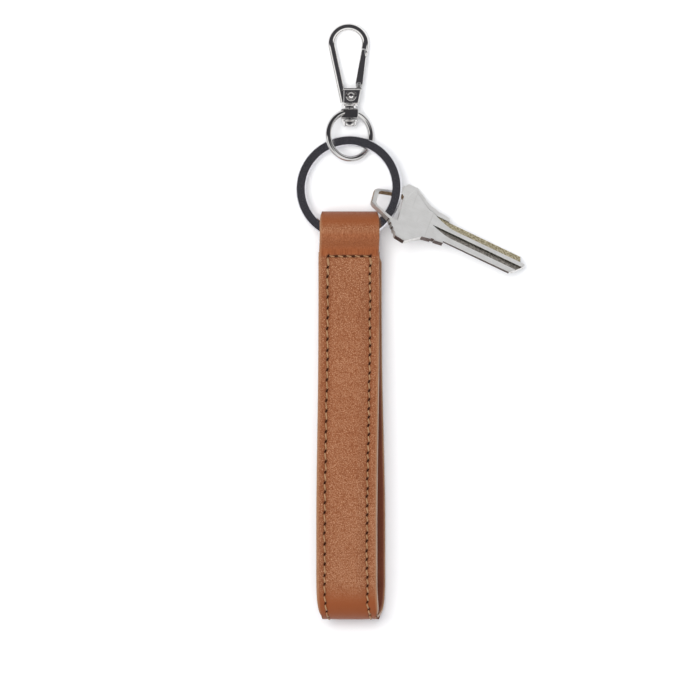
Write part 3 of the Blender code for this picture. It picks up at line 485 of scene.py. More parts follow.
@dataclass(frozen=True)
class GrainLeather:
    """The grain side of the strap: pebbled, with mottled tanning, painted shade in its stitch holes, beside
    its rows, along the front's right edge and where it tilts away, and a rim that is partly painted
    highlight.
    """

    name: str = "tan_grain_leather"
    dark: Colour = (0.205, 0.058, 0.017)
    middle: Colour = (0.298, 0.11, 0.044)
    light: Colour = (0.44, 0.215, 0.115)
    # Painted shade in the stitch holes and along the seam row across the strap
    hole: Colour = (0.022, 0.005, 0.002)
    # The rim along the edges: partly the edge's own lighter colour, partly painted highlight on the rounded
    # edge
    rim: Colour = (0.36, 0.19, 0.098)
    # Darker, more saturated colours painted where the leather tilts away from the overhead light: painted
    # shade, standing in for the sheen that only the level parts catch
    tilt_shade_dark: Colour = (0.19, 0.04, 0.005)
    tilt_shade_light: Colour = (0.29, 0.072, 0.013)
    roughness: float = 0.5
    roughness_rise: float = 0.13
    roughness_fall: float = 0.07
    height_top: float = 1.4
    specular: float = 0.42
    grain_scale: float = 2000.0
    grain_pores: float = 0.6
    grain_contrast: float = 1.7
    grain_depth: float = 0.06 * MM
    pulled_flat: float = 0.78
    cloud_scale: float = 55.0
    cloud_range: Span = (0.3, 0.7)
    cloud_tone: float = 0.12
    base_tone: float = 0.42
    streak_across: float = 4600.0
    streak_along: float = 150.0
    streak_tone: float = 0.6
    tilt_shade_streaks: float = 1.7
    streak_height: float = 0.8
    # How much the painted shade beside the rows and along the right edge darkens the tone
    pressed_tone: float = -0.27
    tone_stops: tuple[float, float, float] = (0.1, 0.5, 0.95)

    def build(self, effects: Effects) -> bpy.types.Material:
        """Builds the material.

        Args:
            effects: the shared groups.

        Returns:
            The material.
        """
        surface = Surface(self.name)
        graph = surface.graph
        low, high = self.cloud_range
        grain = surface.effect(effects.grain, scale=self.grain_scale, pores=self.grain_pores)
        mottle = surface.effect(effects.mottle, scale=self.cloud_scale, low=low, high=high)["Mask"]
        streaks = surface.effect(effects.streaks, across=self.streak_across, along=self.streak_along)
        stretched = surface.attribute("stretched")
        # Painted shade where the leather tilts away; it also calms the grain there
        tilt_shade = surface.attribute("tilt_shade")
        pulled = graph.math("MAXIMUM", tilt_shade, stretched)
        calm = graph.math("SUBTRACT", 1.0, graph.math("MULTIPLY", pulled, self.pulled_flat))
        pebbled = graph.math("MULTIPLY", graph.math("SUBTRACT", grain["Tone"], 0.5), calm)
        tone = graph.math("MULTIPLY_ADD", mottle, self.cloud_tone, self.base_tone)
        tone = graph.math("MULTIPLY_ADD", pebbled, self.grain_contrast, tone)
        streaked = graph.math("MULTIPLY", graph.math("SUBTRACT", streaks["Height"], 0.5), stretched)
        tone = graph.math("MULTIPLY_ADD", streaked, self.streak_tone, tone)
        # Painted shade beside the stitch rows and along the front strap's right edge
        tone = graph.math("MULTIPLY_ADD", surface.attribute("pressed"), self.pressed_tone, tone)
        colour = graph.ramp(tone, list(zip(self.tone_stops, (self.dark, self.middle, self.light))))
        lit = graph.math("MULTIPLY_ADD", streaked, self.tilt_shade_streaks, 0.5)
        # Painted shade: tilted leather takes the darker, streaked colours
        colour = graph.mix(tilt_shade, colour, graph.mix(lit, self.tilt_shade_dark, self.tilt_shade_light))
        # The rim: partly the edge's own colour, partly painted highlight where the edge rounds over
        colour = graph.mix(surface.attribute("rim"), colour, self.rim)
        # Painted shade: the stitch holes take a near-black colour
        hole = surface.attribute("hole")
        surface.feed(Base_Color=graph.mix(hole, colour, self.hole), Specular_IOR_Level=self.specular)
        high, low = self.roughness + self.roughness_rise, self.roughness - self.roughness_fall
        rough = graph.fit(grain["Height"], 0.0, self.height_top, high, low)
        surface.feed(Roughness=graph.math("MAXIMUM", rough, hole))
        height = graph.math("MULTIPLY", grain["Height"], calm)
        surface.bump(graph.math("MULTIPLY_ADD", streaked, self.streak_height, height), self.grain_depth)
        return surface.material


@dataclass(frozen=True)
class PlainHide:
    """A napped or painted leather surface: flesh side, lining, cut edge or filler."""

    name: str
    dark: Colour
    light: Colour
    roughness: float
    nap_scale: float
    nap_depth: float
    nap_pores: float = 0.9
    cloud_scale: float = 140.0
    cloud_share: float = 0.4
    height_top: float = 1.6
    roughness_rise: float = 0.08
    roughness_fall: float = 0.06

    def build(self, effects: Effects) -> bpy.types.Material:
        """Builds the material.

        Args:
            effects: the shared groups.

        Returns:
            The material.
        """
        surface = Surface(self.name)
        graph = surface.graph
        grain = surface.effect(effects.grain, scale=self.nap_scale, pores=self.nap_pores)
        mottle = surface.effect(effects.mottle, scale=self.cloud_scale)["Mask"]
        tone = graph.math("MULTIPLY", grain["Tone"], 1.0 - self.cloud_share)
        tone = graph.math("MULTIPLY_ADD", mottle, self.cloud_share, tone)
        surface.feed(Base_Color=graph.mix(tone, self.dark, self.light))
        high, low = self.roughness + self.roughness_rise, self.roughness - self.roughness_fall
        surface.feed(Roughness=graph.fit(grain["Height"], 0.0, self.height_top, high, low))
        surface.bump(grain["Height"], self.nap_depth)
        return surface.material


@dataclass(frozen=True)
class Thread:
    """Waxed sewing thread with its twist."""

    name: str = "waxed_thread"
    dark: Colour = (0.26, 0.122, 0.052)
    light: Colour = (0.56, 0.335, 0.18)
    roughness: float = 0.5
    roughness_rise: float = 0.1
    ply: float = 2600.0
    ply_depth: float = 0.05 * MM
    cloud_scale: float = 600.0
    cloud_share: float = 0.4

    def build(self, effects: Effects) -> bpy.types.Material:
        """Builds the material.

        Args:
            effects: the shared groups.

        Returns:
            The material.
        """
        surface = Surface(self.name)
        graph = surface.graph
        inputs = {"Vector": surface.place, "Scale": self.ply, "Distortion": 1.0}
        twist = graph.add("ShaderNodeTexWave", inputs, bands_direction="DIAGONAL").outputs["Fac"]
        mottle = surface.effect(effects.mottle, scale=self.cloud_scale)["Mask"]
        tone = graph.math("MULTIPLY", mottle, self.cloud_share)
        tone = graph.math("MULTIPLY_ADD", twist, 1.0 - self.cloud_share, tone)
        surface.feed(Base_Color=graph.mix(tone, self.dark, self.light))
        rough = graph.fit(twist, 0.0, 1.0, self.roughness + self.roughness_rise, self.roughness)
        surface.feed(Roughness=rough)
        surface.bump(twist, self.ply_depth)
        return surface.material


@dataclass(frozen=True)
class Metal:
    """Plated or bare metal, with handling marks, a cloudy or milled tone, and a ripple in millimetres."""

    name: str
    colour: Colour
    shade: Colour
    roughness: float
    wear: float = 0.2
    ripple: float = 0.001
    cloud_scale: float = 240.0
    cloud_share: float = 0.4
    milled: float = 0.0
    scratch_scale: float = 900.0
    mill_across: float = 130.0
    mill_along: float = 5200.0
    wear_roughness: float = 0.4

    def build(self, effects: Effects) -> bpy.types.Material:
        """Builds the material.

        Args:
            effects: the shared groups.

        Returns:
            The material.
        """
        surface = Surface(self.name)
        graph = surface.graph
        scratches = surface.effect(effects.scratches, scale=self.scratch_scale, amount=self.wear)["Mask"]
        mottle = surface.effect(effects.mottle, scale=self.cloud_scale)["Mask"]
        marks = graph.math("MAXIMUM", scratches, graph.math("MULTIPLY", mottle, self.cloud_share))
        if self.milled:
            lines = surface.effect(effects.streaks, across=self.mill_across, along=self.mill_along)["Height"]
            marks = graph.math("MULTIPLY_ADD", lines, self.milled, marks)
        surface.feed(Base_Color=graph.mix(marks, self.colour, self.shade), Metallic=1.0)
        worn = self.roughness + self.wear * self.wear_roughness
        surface.feed(Roughness=graph.fit(marks, 0.0, 1.0, self.roughness, worn))
        surface.bump(marks, self.ripple * MM)
        return surface.material


class Finishes:
    """Every finish on the object, built once."""

    def __init__(self, effects: Effects) -> None:
        """Builds the materials.

        Args:
            effects: the shared groups.
        """
        hides = (
            PlainHide("edge_lacquer", (0.30, 0.15, 0.08), (0.52, 0.36, 0.25), 0.38, 2600.0, 0.03 * MM),
            PlainHide("flesh_side", (0.30, 0.13, 0.06), (0.44, 0.22, 0.11), 0.85, 3200.0, 0.06 * MM),
            PlainHide("dark_lining", (0.135, 0.028, 0.009), (0.215, 0.055, 0.02), 0.72, 2600.0, 0.05 * MM),
            PlainHide("strap_filler", (0.28, 0.19, 0.12), (0.4, 0.29, 0.2), 0.9, 1800.0, 0.08 * MM),
        )
        # Name, colour, shade, roughness, wear, ripple in millimetres, cloud scale and share, milled tone
        keys = (
            ("key_nickel_silver", (0.88, 0.875, 0.86), (0.7, 0.69, 0.665), 0.3, 0.4, 0.004, 300.0, 0.3, 0.25),
            # The key's lower edge walls: a dark colour as painted shade
            ("key_edge_shade", (0.21, 0.165, 0.15), (0.10, 0.08, 0.074), 0.45, 0.3, 0.004, 1500.0, 0.8),
            ("key_hole_wall", (0.30, 0.21, 0.12), (0.14, 0.09, 0.05), 0.4, 0.3, 0.004, 1200.0, 0.8),
            ("key_upper_groove", (0.80, 0.73, 0.52), (0.36, 0.30, 0.18), 0.38, 0.3, 0.01, 1500.0, 1.0, 0.2),
            ("key_lower_groove", (0.50, 0.465, 0.41), (0.21, 0.195, 0.17), 0.4, 0.3, 0.01, 1500.0, 1.0, 0.2),
            ("key_side", (0.86, 0.85, 0.83), (0.66, 0.65, 0.62), 0.55, 0.3, 0.004, 900.0, 0.5),
        )
        metals = (
            ("ring_nickel", (0.74, 0.735, 0.77), (0.46, 0.46, 0.49), 0.14, 0.3, 0.004, 2400.0, 0.8),
            ("hook_nickel", (0.80, 0.785, 0.77), (0.66, 0.65, 0.64), 0.07),
            ("eye_nickel", (0.66, 0.65, 0.64), (0.50, 0.49, 0.485), 0.07),
            ("pin_steel", (0.62, 0.61, 0.60), (0.46, 0.46, 0.46), 0.2, 0.3, 0.002),
        )
        self.grain = GrainLeather().build(effects)
        self.edge, self.flesh, self.lining, self.filler = (look.build(effects) for look in hides)
        self.thread = Thread().build(effects)
        self.ring, self.hook, self.eye, self.pin = (Metal(*look).build(effects) for look in metals)
        self.key = [Metal(*look).build(effects) for look in keys]


def make_piece(
    name: str, mesh: bpy.types.Mesh, body: str, slot: str, *nodes: str, place: Matrix | None = None
) -> bpy.types.Object:
    """Adds a finished mesh as a piece of the object.

    Args:
        name: the piece's name.
        mesh: its mesh, in the row frame or in that of its place.
        body: the CAD body that it rides on.
        slot: the record's material slot; not used.
        *nodes: the CAD nodes that it stands for.
        place: where the mesh's own frame lies, if not in the row frame.

    Returns:
        The piece.
    """
    mesh.name = name
    piece = bpy.data.objects.new(name, mesh)
    bpy.context.scene.collection.objects.link(piece)
    piece.matrix_world = place or Matrix.Identity(4)
    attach(piece, body)
    if nodes:
        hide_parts(*nodes)
    LOG.info("%s: %d faces on %s", name, len(mesh.polygons), body)
    return piece


@dataclass
class Loft:
    """A closed skin through sections that have the same number of points each."""

    rings: list[list[Vector]]
    layers: list[int]
    weights: dict[str, list[list[float]]] = field(default_factory=dict)

    def mesh(
        self, name: str, materials: Sequence[bpy.types.Material], sharp: float = SOFT_ANGLE
    ) -> bpy.types.Mesh:
        """Builds the mesh.

        Args:
            name: the mesh's name.
            materials: its materials, by the index that layers gives for each face round the section.
            sharp: the angle from which an edge is sharp.

        Returns:
            The mesh, with a point attribute for each of the weights.
        """
        count = len(self.rings[0])
        points = [point for ring in self.rings for point in ring]
        mesh = bpy.data.meshes.new(name)
        mesh.from_pydata(points, [], skin_faces(0, len(self.rings), count))
        for material in materials:
            mesh.materials.append(material)
        indices = self.layers * (len(self.rings) - 1) + [self.layers[-1]] * 2
        mesh.polygons.foreach_set("material_index", indices)
        for label, rows in self.weights.items():
            attribute = mesh.attributes.new(label, "FLOAT", "POINT")
            attribute.data.foreach_set("value", [value for row in rows for value in row])
        mesh.update()
        reshaped(mesh, lambda shape: None)
        mesh.shade_smooth()
        mesh.set_sharp_from_angle(angle=sharp)
        return mesh


@dataclass
class Station:
    """One place along the strap: its outer surface line in the YZ plane, and its section there."""

    y: float
    z: float
    shift: float
    half_width: float
    crown: float = 0.0
    drift: float = 0.0
    flare: float = 0.0
    stretched: float = 0.0
    # How much painted shade the leather gets where it tilts away, from 0 to 1
    tilt_shade: float = 0.0
    outward: Vector = field(default_factory=Vector)
    run: float = 0.0

    def point(self, x: float, depth: float, inner: float = 0.0) -> Vector:
        """The point at x across the strap, this deep below its outer surface line.

        Args:
            x: the place across the strap.
            depth: how deep it lies.
            inner: how far it follows the stitch rows' drift, from 0 to 1.

        Returns:
            The point.
        """
        across = self.shift + x + self.drift * inner
        return Vector((across, self.y - self.outward.y * depth, self.z - self.outward.z * depth))


@dataclass
class StitchRow:
    """The holes and thread of one sewn row along the strap, set by hand and so a little uneven."""

    side: Side
    pitch: float
    start: float
    end: float
    unevenness: float = 0.16 * MM
    places: list[Span] = field(default_factory=list)

    def __post_init__(self) -> None:
        """Places the holes, as run along the strap and offset across it."""
        chance = random.Random(self.side.value)
        count = int((self.end - self.start) / self.pitch)
        for i in range(count + 1):
            along = chance.gauss(0.0, self.unevenness) if i else 0.0
            self.places.append((self.start + i * self.pitch + along, chance.gauss(0.0, self.unevenness / 2)))

    def nearest(self, run: float) -> tuple[float, float]:
        """The hole next to this run."""
        index = min(max(round((run - self.start) / self.pitch), 0), len(self.places) - 1)
        return self.places[index]


@dataclass
class LeatherStrap:
    """The looped strap: one strip with its keeper, its lining, its filler and its sewing."""

    width: float = 20.2 * MM
    keeper_width: float = 19.75 * MM
    leather: float = 1.4 * MM
    lining: float = 0.8 * MM
    lining_inset: float = 0.55 * MM
    glue_gap: float = 0.15 * MM
    crown_height: float = 0.9 * MM
    crown_start: float = 3.2 * MM
    crown_end: float = 6.5 * MM
    crown_run: float = 8.0 * MM
    crown_bend: float = 0.08
    lining_lift: float = 0.04 * MM
    lining_swell: float = 0.1 * MM
    core_half: float = 5.3 * MM
    core_gap: float = 0.05 * MM
    core_base: float = 0.08 * MM
    core_steps: int = 6
    core_every: int = 4
    edge_round: float = 0.5 * MM
    edge_turns: int = 5
    edge_flare: float = 0.3 * MM
    left_flare: float = 0.3
    # The cut edge's lower corner: how far in and how far above the flesh side, in millimetres
    skive: tuple[Span, ...] = ((0.0, 0.25), (0.06, 0.08), (0.22, 0.0))
    # Where it starts: a share of the flare, and how far above the flesh side, in millimetres
    skive_start: Span = (0.75, 0.45)
    flare_start_y: float = 38.0 * MM
    flare_run: float = 24.0 * MM
    # The lighter rim along the edges, partly painted highlight on the rounded edge: where it starts, its
    # reach and its share on the top
    rim_start: float = 9.0 * MM
    rim_reach: float = 0.4 * MM
    rim_share: float = 0.4
    # How much of the rim the painted edge shade takes away
    edge_shade_rim: float = 0.75
    loop_end_y: float = -55.9 * MM
    bend_depth: float = 13.0 * MM
    loop_height: float = 17.5 * MM
    bulge_y: float = -25.0 * MM
    flat_end_y: float = 20.0 * MM
    parallel_end_y: float = 62.0 * MM
    seam_y: float = 64.1 * MM
    lining_end_y: float = 65.6 * MM
    strap_end_y: float = 65.3 * MM
    seam_top_end_y: float = 66.0 * MM
    tab_end_y: float = 62.3 * MM
    tab_fold_y: float = 66.1 * MM
    front_shift: float = -0.75 * MM
    back_shift: float = 1.85 * MM
    back_seam_shift: float = 0.7 * MM
    back_seam_run: float = 2.5 * MM
    spread_power: float = 1.8
    bend_draw_in: float = 1.3 * MM
    bend_draw_power: int = 9
    keeper_axis_y: float = KEEPER_AXIS_Y
    keeper_axis_z: float = KEEPER_AXIS_Z
    keeper_shift: float = 0.2 * MM
    keeper_bore: float = 4.6 * MM
    keeper_draw_in: float = 0.6 * MM
    keeper_draw_power: int = 4
    keeper_back_steps: int = 24
    keeper_fold_steps: int = 44
    keeper_front_steps: int = 22
    keeper_front_reach: float = 3.9 * MM
    keeper_front_ease: float = 2.0 * MM
    stretch_past: float = 1.5 * MM
    stretch_run: float = 3.0 * MM
    front_shade_start: float = 0.6 * MM
    front_shade_run: float = 1.5 * MM
    seam_margin: float = 0.2 * MM
    seam_fade: float = 0.5 * MM
    # Painted shade where the leather tilts away: on the keeper's front and foot, on the keeper and the bend,
    # and from what tilt it starts
    front_tilt_shade: float = 0.5
    foot_tilt_shade: float = 0.75
    foot_start_y: float = 68.8 * MM
    foot_run: float = 3.6 * MM
    keeper_tilt_shade: float = 0.72
    bend_tilt_shade: float = 1.0
    tilt_shade_start: float = 0.14
    # Painted shade along the front strap's right edge: where it starts across, how much of it away from the
    # front's upper part, and where along the strap it grows
    edge_shade_start: float = 8.45 * MM
    edge_shade_share: float = 0.35
    edge_shade_end_y: float = 38.0 * MM
    edge_shade_run: float = 5.0 * MM
    # How far the painted shade reaches out from each row
    pressed_reach: float = 1.1 * MM
    pressed_left_reach: float = 1.9 * MM
    keeper_back_reach: float = 5.5 * MM
    keeper_back_ease: float = 2.4 * MM
    row_x: float = 7.0 * MM
    row_drift: float = -0.3 * MM
    row_valley: float = 0.2 * MM
    valley_reach: float = 0.5 * MM
    seam_shade: float = 0.45
    hole_depth: float = 0.55 * MM
    hole_length: float = 0.62 * MM
    hole_width: float = 0.27 * MM
    hole_slant: float = math.radians(24.0)
    # How strongly the holes take the painted shade
    hole_look: float = 1.8
    hole_window: float = 4.0
    cross_hole_width: float = 1.2
    drift_fade: float = 2.0 * MM
    left_pitch: float = 3.4 * MM
    right_pitch: float = 2.95 * MM
    cross_pitch: float = 2.75 * MM
    thread_radius: float = 0.26 * MM
    cross_radius: float = 0.21 * MM
    cross_sink: float = 0.1 * MM
    thread_slant: float = 0.22 * MM
    thread_swell: float = 0.14 * MM
    swell_run: float = 14.0 * MM
    thread_gap: float = 0.42 * MM
    thread_dive: float = 0.75 * MM
    thread_rise: float = 0.16 * MM
    thread_taper: float = 0.6
    dive_share: float = 0.22
    cross_dive_share: float = 0.2
    stitch_steps: int = 12
    step: float = 0.33 * MM

    def __post_init__(self) -> None:
        """Lays out the route and the stitch rows."""
        self.loop = self._loop_stations()
        joint = self._front(self.seam_top_end_y)
        joint.tilt_shade = self._front_tilt_shade(joint.y)
        joint.stretched = 1.0
        self.route = self._keeper_stations() + [joint] + self.loop
        self._measure(self.route)
        self._runs = [station.run for station in self.route]
        front = (station for station in self.loop if station.z >= self.keeper_axis_z)
        self.seam_run = min(front, key=lambda station: abs(station.y - self.seam_y)).run
        end = self.loop[-1].run - (self.strap_end_y - self.seam_y)
        self.rows = {
            side: StitchRow(side, pitch, self.seam_run, end)
            for side, pitch in ((Side.LEFT, self.left_pitch), (Side.RIGHT, self.right_pitch))
        }

    def _seam_half(self) -> float:
        """Half the thickness of the sewn stack at the seam."""
        return self.leather / 2 + self.leather + self.lining + 2 * self.glue_gap

    def _open(self, y: float) -> float:
        """0 at the seam, 1 where the loop is fully open."""
        return ease((self.parallel_end_y - y) / (self.parallel_end_y - self.bulge_y))

    def _spread(self, y: float) -> float:
        """How far apart the two straps' edges are, from 0 at the seam to 1."""
        return self._open(y) ** self.spread_power

    def _crown(self, y: float) -> float:
        """How far the padded crown has risen at this y, from 0 to 1."""
        return ease((self.parallel_end_y - y) / self.crown_run)

    def _front(self, y: float) -> Station:
        """The station of the front strap at this y.

        Args:
            y: the place along Y.

        Returns:
            The station.
        """
        share = self._open(y)
        z = blend(self.keeper_axis_z + self._seam_half(), self.loop_height, share)
        half = blend(self.width, self.keeper_width, ease((y - self.seam_y) / self.edge_round)) / 2
        shift = self.front_shift * self._spread(y)
        flare = self.edge_flare * ease((self.flare_start_y - y) / self.flare_run)
        return Station(y, z, shift, half, self._crown(y), self.row_drift * share, flare)

    def _back(self, y: float) -> Station:
        """The station of the back strap at this y.

        Args:
            y: the place along Y.

        Returns:
            The station.
        """
        rise = 1.0 - ease((self.parallel_end_y - y) / (self.parallel_end_y - self.flat_end_y))
        z = (self.keeper_axis_z - self._seam_half()) * rise
        seam = self.back_seam_shift * ease((self.seam_y - y) / self.back_seam_run)
        shift = blend(seam, self.back_shift, self._spread(y))
        return Station(y, z, shift, self.width / 2, self._crown(y))

    def _bend(self) -> list[Station]:
        """The half ellipse where the front strap turns under and becomes the back strap.

        Returns:
            Its stations.
        """
        centre_y = self.loop_end_y + self.bend_depth
        half_height = self.loop_height / 2
        count = round(math.pi * (self.bend_depth + half_height) / 2 / self.step)
        found = []
        for i in range(1, count):
            share = i / count
            angle = math.pi * share
            y = centre_y - self.bend_depth * math.sin(angle)
            z = half_height + half_height * math.cos(angle)
            shift = blend(self.front_shift, self.back_shift, ease(share))
            half = self.width / 2 - self.bend_draw_in * math.sin(angle) ** self.bend_draw_power
            fade = 1.0 - ease(share)
            crown = blend(1.0, self.crown_bend, math.sin(angle) ** 2)
            found.append(Station(y, z, shift, half, crown, self.row_drift * fade, self.edge_flare * fade))
        return found

    def _curve(self, points: Sequence[tuple[float, float]], count: int) -> list[Station]:
        """Stations on a cubic curve, without its two ends.

        Args:
            points: the curve's four control points, as y and z.
            count: how many parts it is split into.

        Returns:
            The stations.
        """
        found = []
        for i in range(1, count):
            t = i / count
            u = 1.0 - t
            weights = (u**3, 3 * u * u * t, 3 * u * t * t, t**3)
            y = sum(w * p[0] for w, p in zip(weights, points))
            z = sum(w * p[1] for w, p in zip(weights, points))
            shift = self.keeper_shift * ease((y - self.strap_end_y) / self.keeper_bore)
            found.append(Station(y, z, shift, self.keeper_width / 2))
        return found

    def _keeper_stations(self) -> list[Station]:
        """The tab inside the seam, the back of the keeper, its fold and its front, down to the seam.

        Returns:
            The stations.
        """
        radius = self.keeper_bore + self.leather
        tab_z = self.keeper_axis_z - self.leather / 2
        front_z = self.keeper_axis_z + self._seam_half()
        low = (self.keeper_axis_y, self.keeper_axis_z - radius)
        high = (self.keeper_axis_y, self.keeper_axis_z + radius)
        tab = (self.tab_fold_y, tab_z)
        seam = (self.seam_top_end_y, front_z)
        found = [Station(y, tab_z, 0.0, self.keeper_width / 2) for y in (self.tab_end_y, self.tab_fold_y)]
        back = (tab, (tab[0] + self.keeper_back_ease, tab_z), (low[0] - self.keeper_back_reach, low[1]), low)
        found += self._curve(back, self.keeper_back_steps)
        for i in range(self.keeper_fold_steps + 1):
            angle = math.pi * (i / self.keeper_fold_steps - 0.5)
            y = self.keeper_axis_y + radius * math.cos(angle)
            z = self.keeper_axis_z + radius * math.sin(angle)
            drawn = self.keeper_draw_in * max(math.cos(angle), 0.0) ** self.keeper_draw_power
            found.append(Station(y, z, self.keeper_shift, self.keeper_width / 2 - drawn))
        over = (high[0] - self.keeper_front_reach, high[1])
        down = (seam[0] + self.keeper_front_ease, front_z)
        found += self._curve((high, over, down, seam), self.keeper_front_steps)
        for station in found:
            if station.z > self.keeper_axis_z:
                past = self.keeper_axis_y + self.stretch_past - station.y
                station.stretched = ease(past / self.stretch_run)
                station.tilt_shade = self._front_tilt_shade(station.y)
        return found

    def _front_tilt_shade(self, y: float) -> float:
        """How much painted shade the keeper's front gets as it slopes to the seam, most at its foot, from 0
        to 1.

        Args:
            y: the place along Y.

        Returns:
            The share.
        """
        start = ease((self.keeper_axis_y - self.front_shade_start - y) / self.front_shade_run)
        foot = ease((self.foot_start_y - y) / self.foot_run)
        return blend(self.front_tilt_shade, self.foot_tilt_shade, foot) * start * self._above_seam(y)

    def _above_seam(self, y: float) -> float:
        """0 below the seam and 1 in the keeper above it."""
        return ease((y - self.seam_y + self.seam_margin) / self.seam_fade)

    def _loop_stations(self) -> list[Station]:
        """The stations from the seam over the front, round the bend and back to the seam.

        Returns:
            The stations.
        """
        bend_y = self.loop_end_y + self.bend_depth
        count = round((self.lining_end_y - bend_y) / self.step)
        found = [self._front(blend(self.lining_end_y, bend_y, i / count)) for i in range(count + 1)]
        for station in found:
            station.tilt_shade = self._front_tilt_shade(station.y)
            station.stretched = self._above_seam(station.y)
        found += self._bend()
        count = round((self.strap_end_y - bend_y) / self.step)
        found += [self._back(blend(bend_y, self.strap_end_y, i / count)) for i in range(count + 1)]
        return found

    def _measure(self, route: list[Station]) -> None:
        """Sets each station's outward direction, its painted shade where it tilts away, and its run along the
        strap.

        Args:
            route: the stations, in order.
        """
        last = len(route) - 1
        for i, station in enumerate(route):
            before, after = route[max(i - 1, 0)], route[min(i + 1, last)]
            along = Vector((0.0, after.y - before.y, after.z - before.z)).normalized()
            station.outward = Vector((0.0, along.z, -along.y))
            # Painted shade: the steeper the leather tilts from level, the darker its colour, except where it
            # is stretched
            most = self.keeper_tilt_shade if station.y > self.seam_top_end_y else self.bend_tilt_shade
            steep = ease(math.sqrt(max(1.0 - abs(station.outward.z), 0.0) / self.tilt_shade_start))
            station.tilt_shade = max(station.tilt_shade, most * (steep * (1.0 - station.stretched)))
            if i:
                station.run = route[i - 1].run + math.hypot(station.y - before.y, station.z - before.z)

    def _drop(self, station: Station, x: float) -> float:
        """How far the outer surface at x lies below the crown's top."""
        share = ease((abs(x) - self.crown_start) / (self.crown_end - self.crown_start))
        return share * self.crown_height * station.crown

    def _hole(self, row: StitchRow, run: float, x: float) -> float:
        """How deep in a stitch hole a point lies, from 0 to 1.

        Args:
            row: the stitch row.
            run: the point's run along the strap.
            x: its place across the strap.

        Returns:
            The share.
        """
        row_x = row.side.value * self.row_x
        if abs(x - row_x) > self.hole_window * self.hole_length:
            return 0.0
        place, offset = row.nearest(run)
        along = run - place
        across = x - offset - row_x
        slit = across * math.sin(self.hole_slant) - along * math.cos(self.hole_slant)
        side = across * math.cos(self.hole_slant) + along * math.sin(self.hole_slant)
        return bell(slit, self.hole_length) * bell(side, self.hole_width)

    def _cross_hole(self, run: float, x: float) -> float:
        """The same for the row across the seam.

        Args:
            run: the point's run along the strap.
            x: its place across the strap.

        Returns:
            The share.
        """
        if abs(run - self.seam_run) > 2 * self.valley_reach or abs(x) > self.row_x:
            return 0.0
        index = round((x + self.row_x) / self._cross_step())
        across = x + self.row_x - index * self._cross_step()
        line = bell(run - self.seam_run, self.hole_width * self.cross_hole_width)
        return blend(self.seam_shade, 1.0, bell(across, self.hole_length)) * line

    def _cross_step(self) -> float:
        """The pitch of the row across the seam, so that it ends on both long rows."""
        return 2 * self.row_x / round(2 * self.row_x / self.cross_pitch)

    def _sunk(self, station: Station, x: float) -> tuple[float, float]:
        """What the sewing does to the surface.

        Args:
            station: the place along the strap.
            x: the place across it.

        Returns:
            How deep the surface is drawn in, and how much painted hole shade it gets.
        """
        run = station.run
        if run < self.seam_run - 2 * self.valley_reach:
            return 0.0, 0.0
        inside = ease((run - self.seam_run + self.valley_reach) / self.valley_reach)
        valley = bell(abs(x) - self.row_x, self.valley_reach) * inside
        hole = max(self._hole(row, run, x) for row in self.rows.values())
        if abs(x) < self.row_x + self.valley_reach:
            valley = max(valley, bell(run - self.seam_run, self.valley_reach))
            hole = max(hole, self._cross_hole(run, x))
        return valley * self.row_valley + hole * self.hole_depth, min(hole * self.hole_look, 1.0)

    def _pressed(self, station: Station, x: float) -> float:
        """How much painted shade the leather gets beside the rows and along the front's right edge, from 0 to
        1.

        Args:
            station: the place along the strap.
            x: the place across it.

        Returns:
            The share.
        """
        below = ease((station.run - self.seam_run + self.valley_reach) / self.valley_reach)
        reach = self.pressed_left_reach if x < -self.row_x else self.pressed_reach
        # Painted shade along the right edge, full on the front's upper part
        edge_shade = ease((x - self.edge_shade_start) / self.rim_reach) * blend(self.edge_shade_share, 1.0, self._right_edge_shade(station))
        return below * max(bell(abs(x) - self.row_x, reach), edge_shade)

    def _right_edge_shade(self, station: Station) -> float:
        """How much painted shade the right edge of the front strap gets, from 0 where the flare starts to 1
        nearer the seam.
        """
        front = station.z > self.keeper_axis_z
        return ease((station.y - self.edge_shade_end_y) / self.edge_shade_run) * front

    def _columns(self) -> list[float]:
        """Places across the right half of the grain side, close together at the stitch row.

        Returns:
            The places, from the middle out.
        """
        # In millimetres
        coarse = [0.75, 1.5, 2.25, 3.0, 3.5, 4.0, 4.5, 4.9, 5.3, 5.65, 5.95, 6.2]
        fine_start, fine_step, fine_count = 6.38, 0.13, 10
        fine = [fine_start + fine_step * i for i in range(fine_count)]
        outer = [7.75, 8.0, 8.35, 8.7, 8.95, 9.2]
        return [value * MM for value in coarse + fine + outer]

    def _edge(self, station: Station, side: Side) -> Section:
        """The rounded and flared edge from the grain side to the flesh side.

        Args:
            station: the place along the strap.
            side: which edge.

        Returns:
            The edge's points, as x from the middle and depth, from the grain side down.
        """
        base = self._drop(station, station.half_width)
        flare = station.flare if side is Side.RIGHT else station.flare * self.left_flare
        radius = self.edge_round
        reach = station.half_width - flare
        points = []
        for i in range(self.edge_turns + 1):
            angle = math.pi / 2 * i / self.edge_turns
            across = reach - radius + radius * math.sin(angle)
            points.append((across, base + radius * (1.0 - math.cos(angle))))
        low = base + self.leather
        share, above = self.skive_start
        points.append((reach + flare * share, low - above * MM))
        points += [(station.half_width - inwards * MM, low - above * MM) for inwards, above in self.skive]
        return points

    def _strip(self) -> Loft:
        """The whole outer strip with its weights for holes, rims, stretched leather and painted shade.

        Returns:
            The loft.
        """
        right = self._columns()
        top = [-x for x in reversed(right)] + [0.0] + right
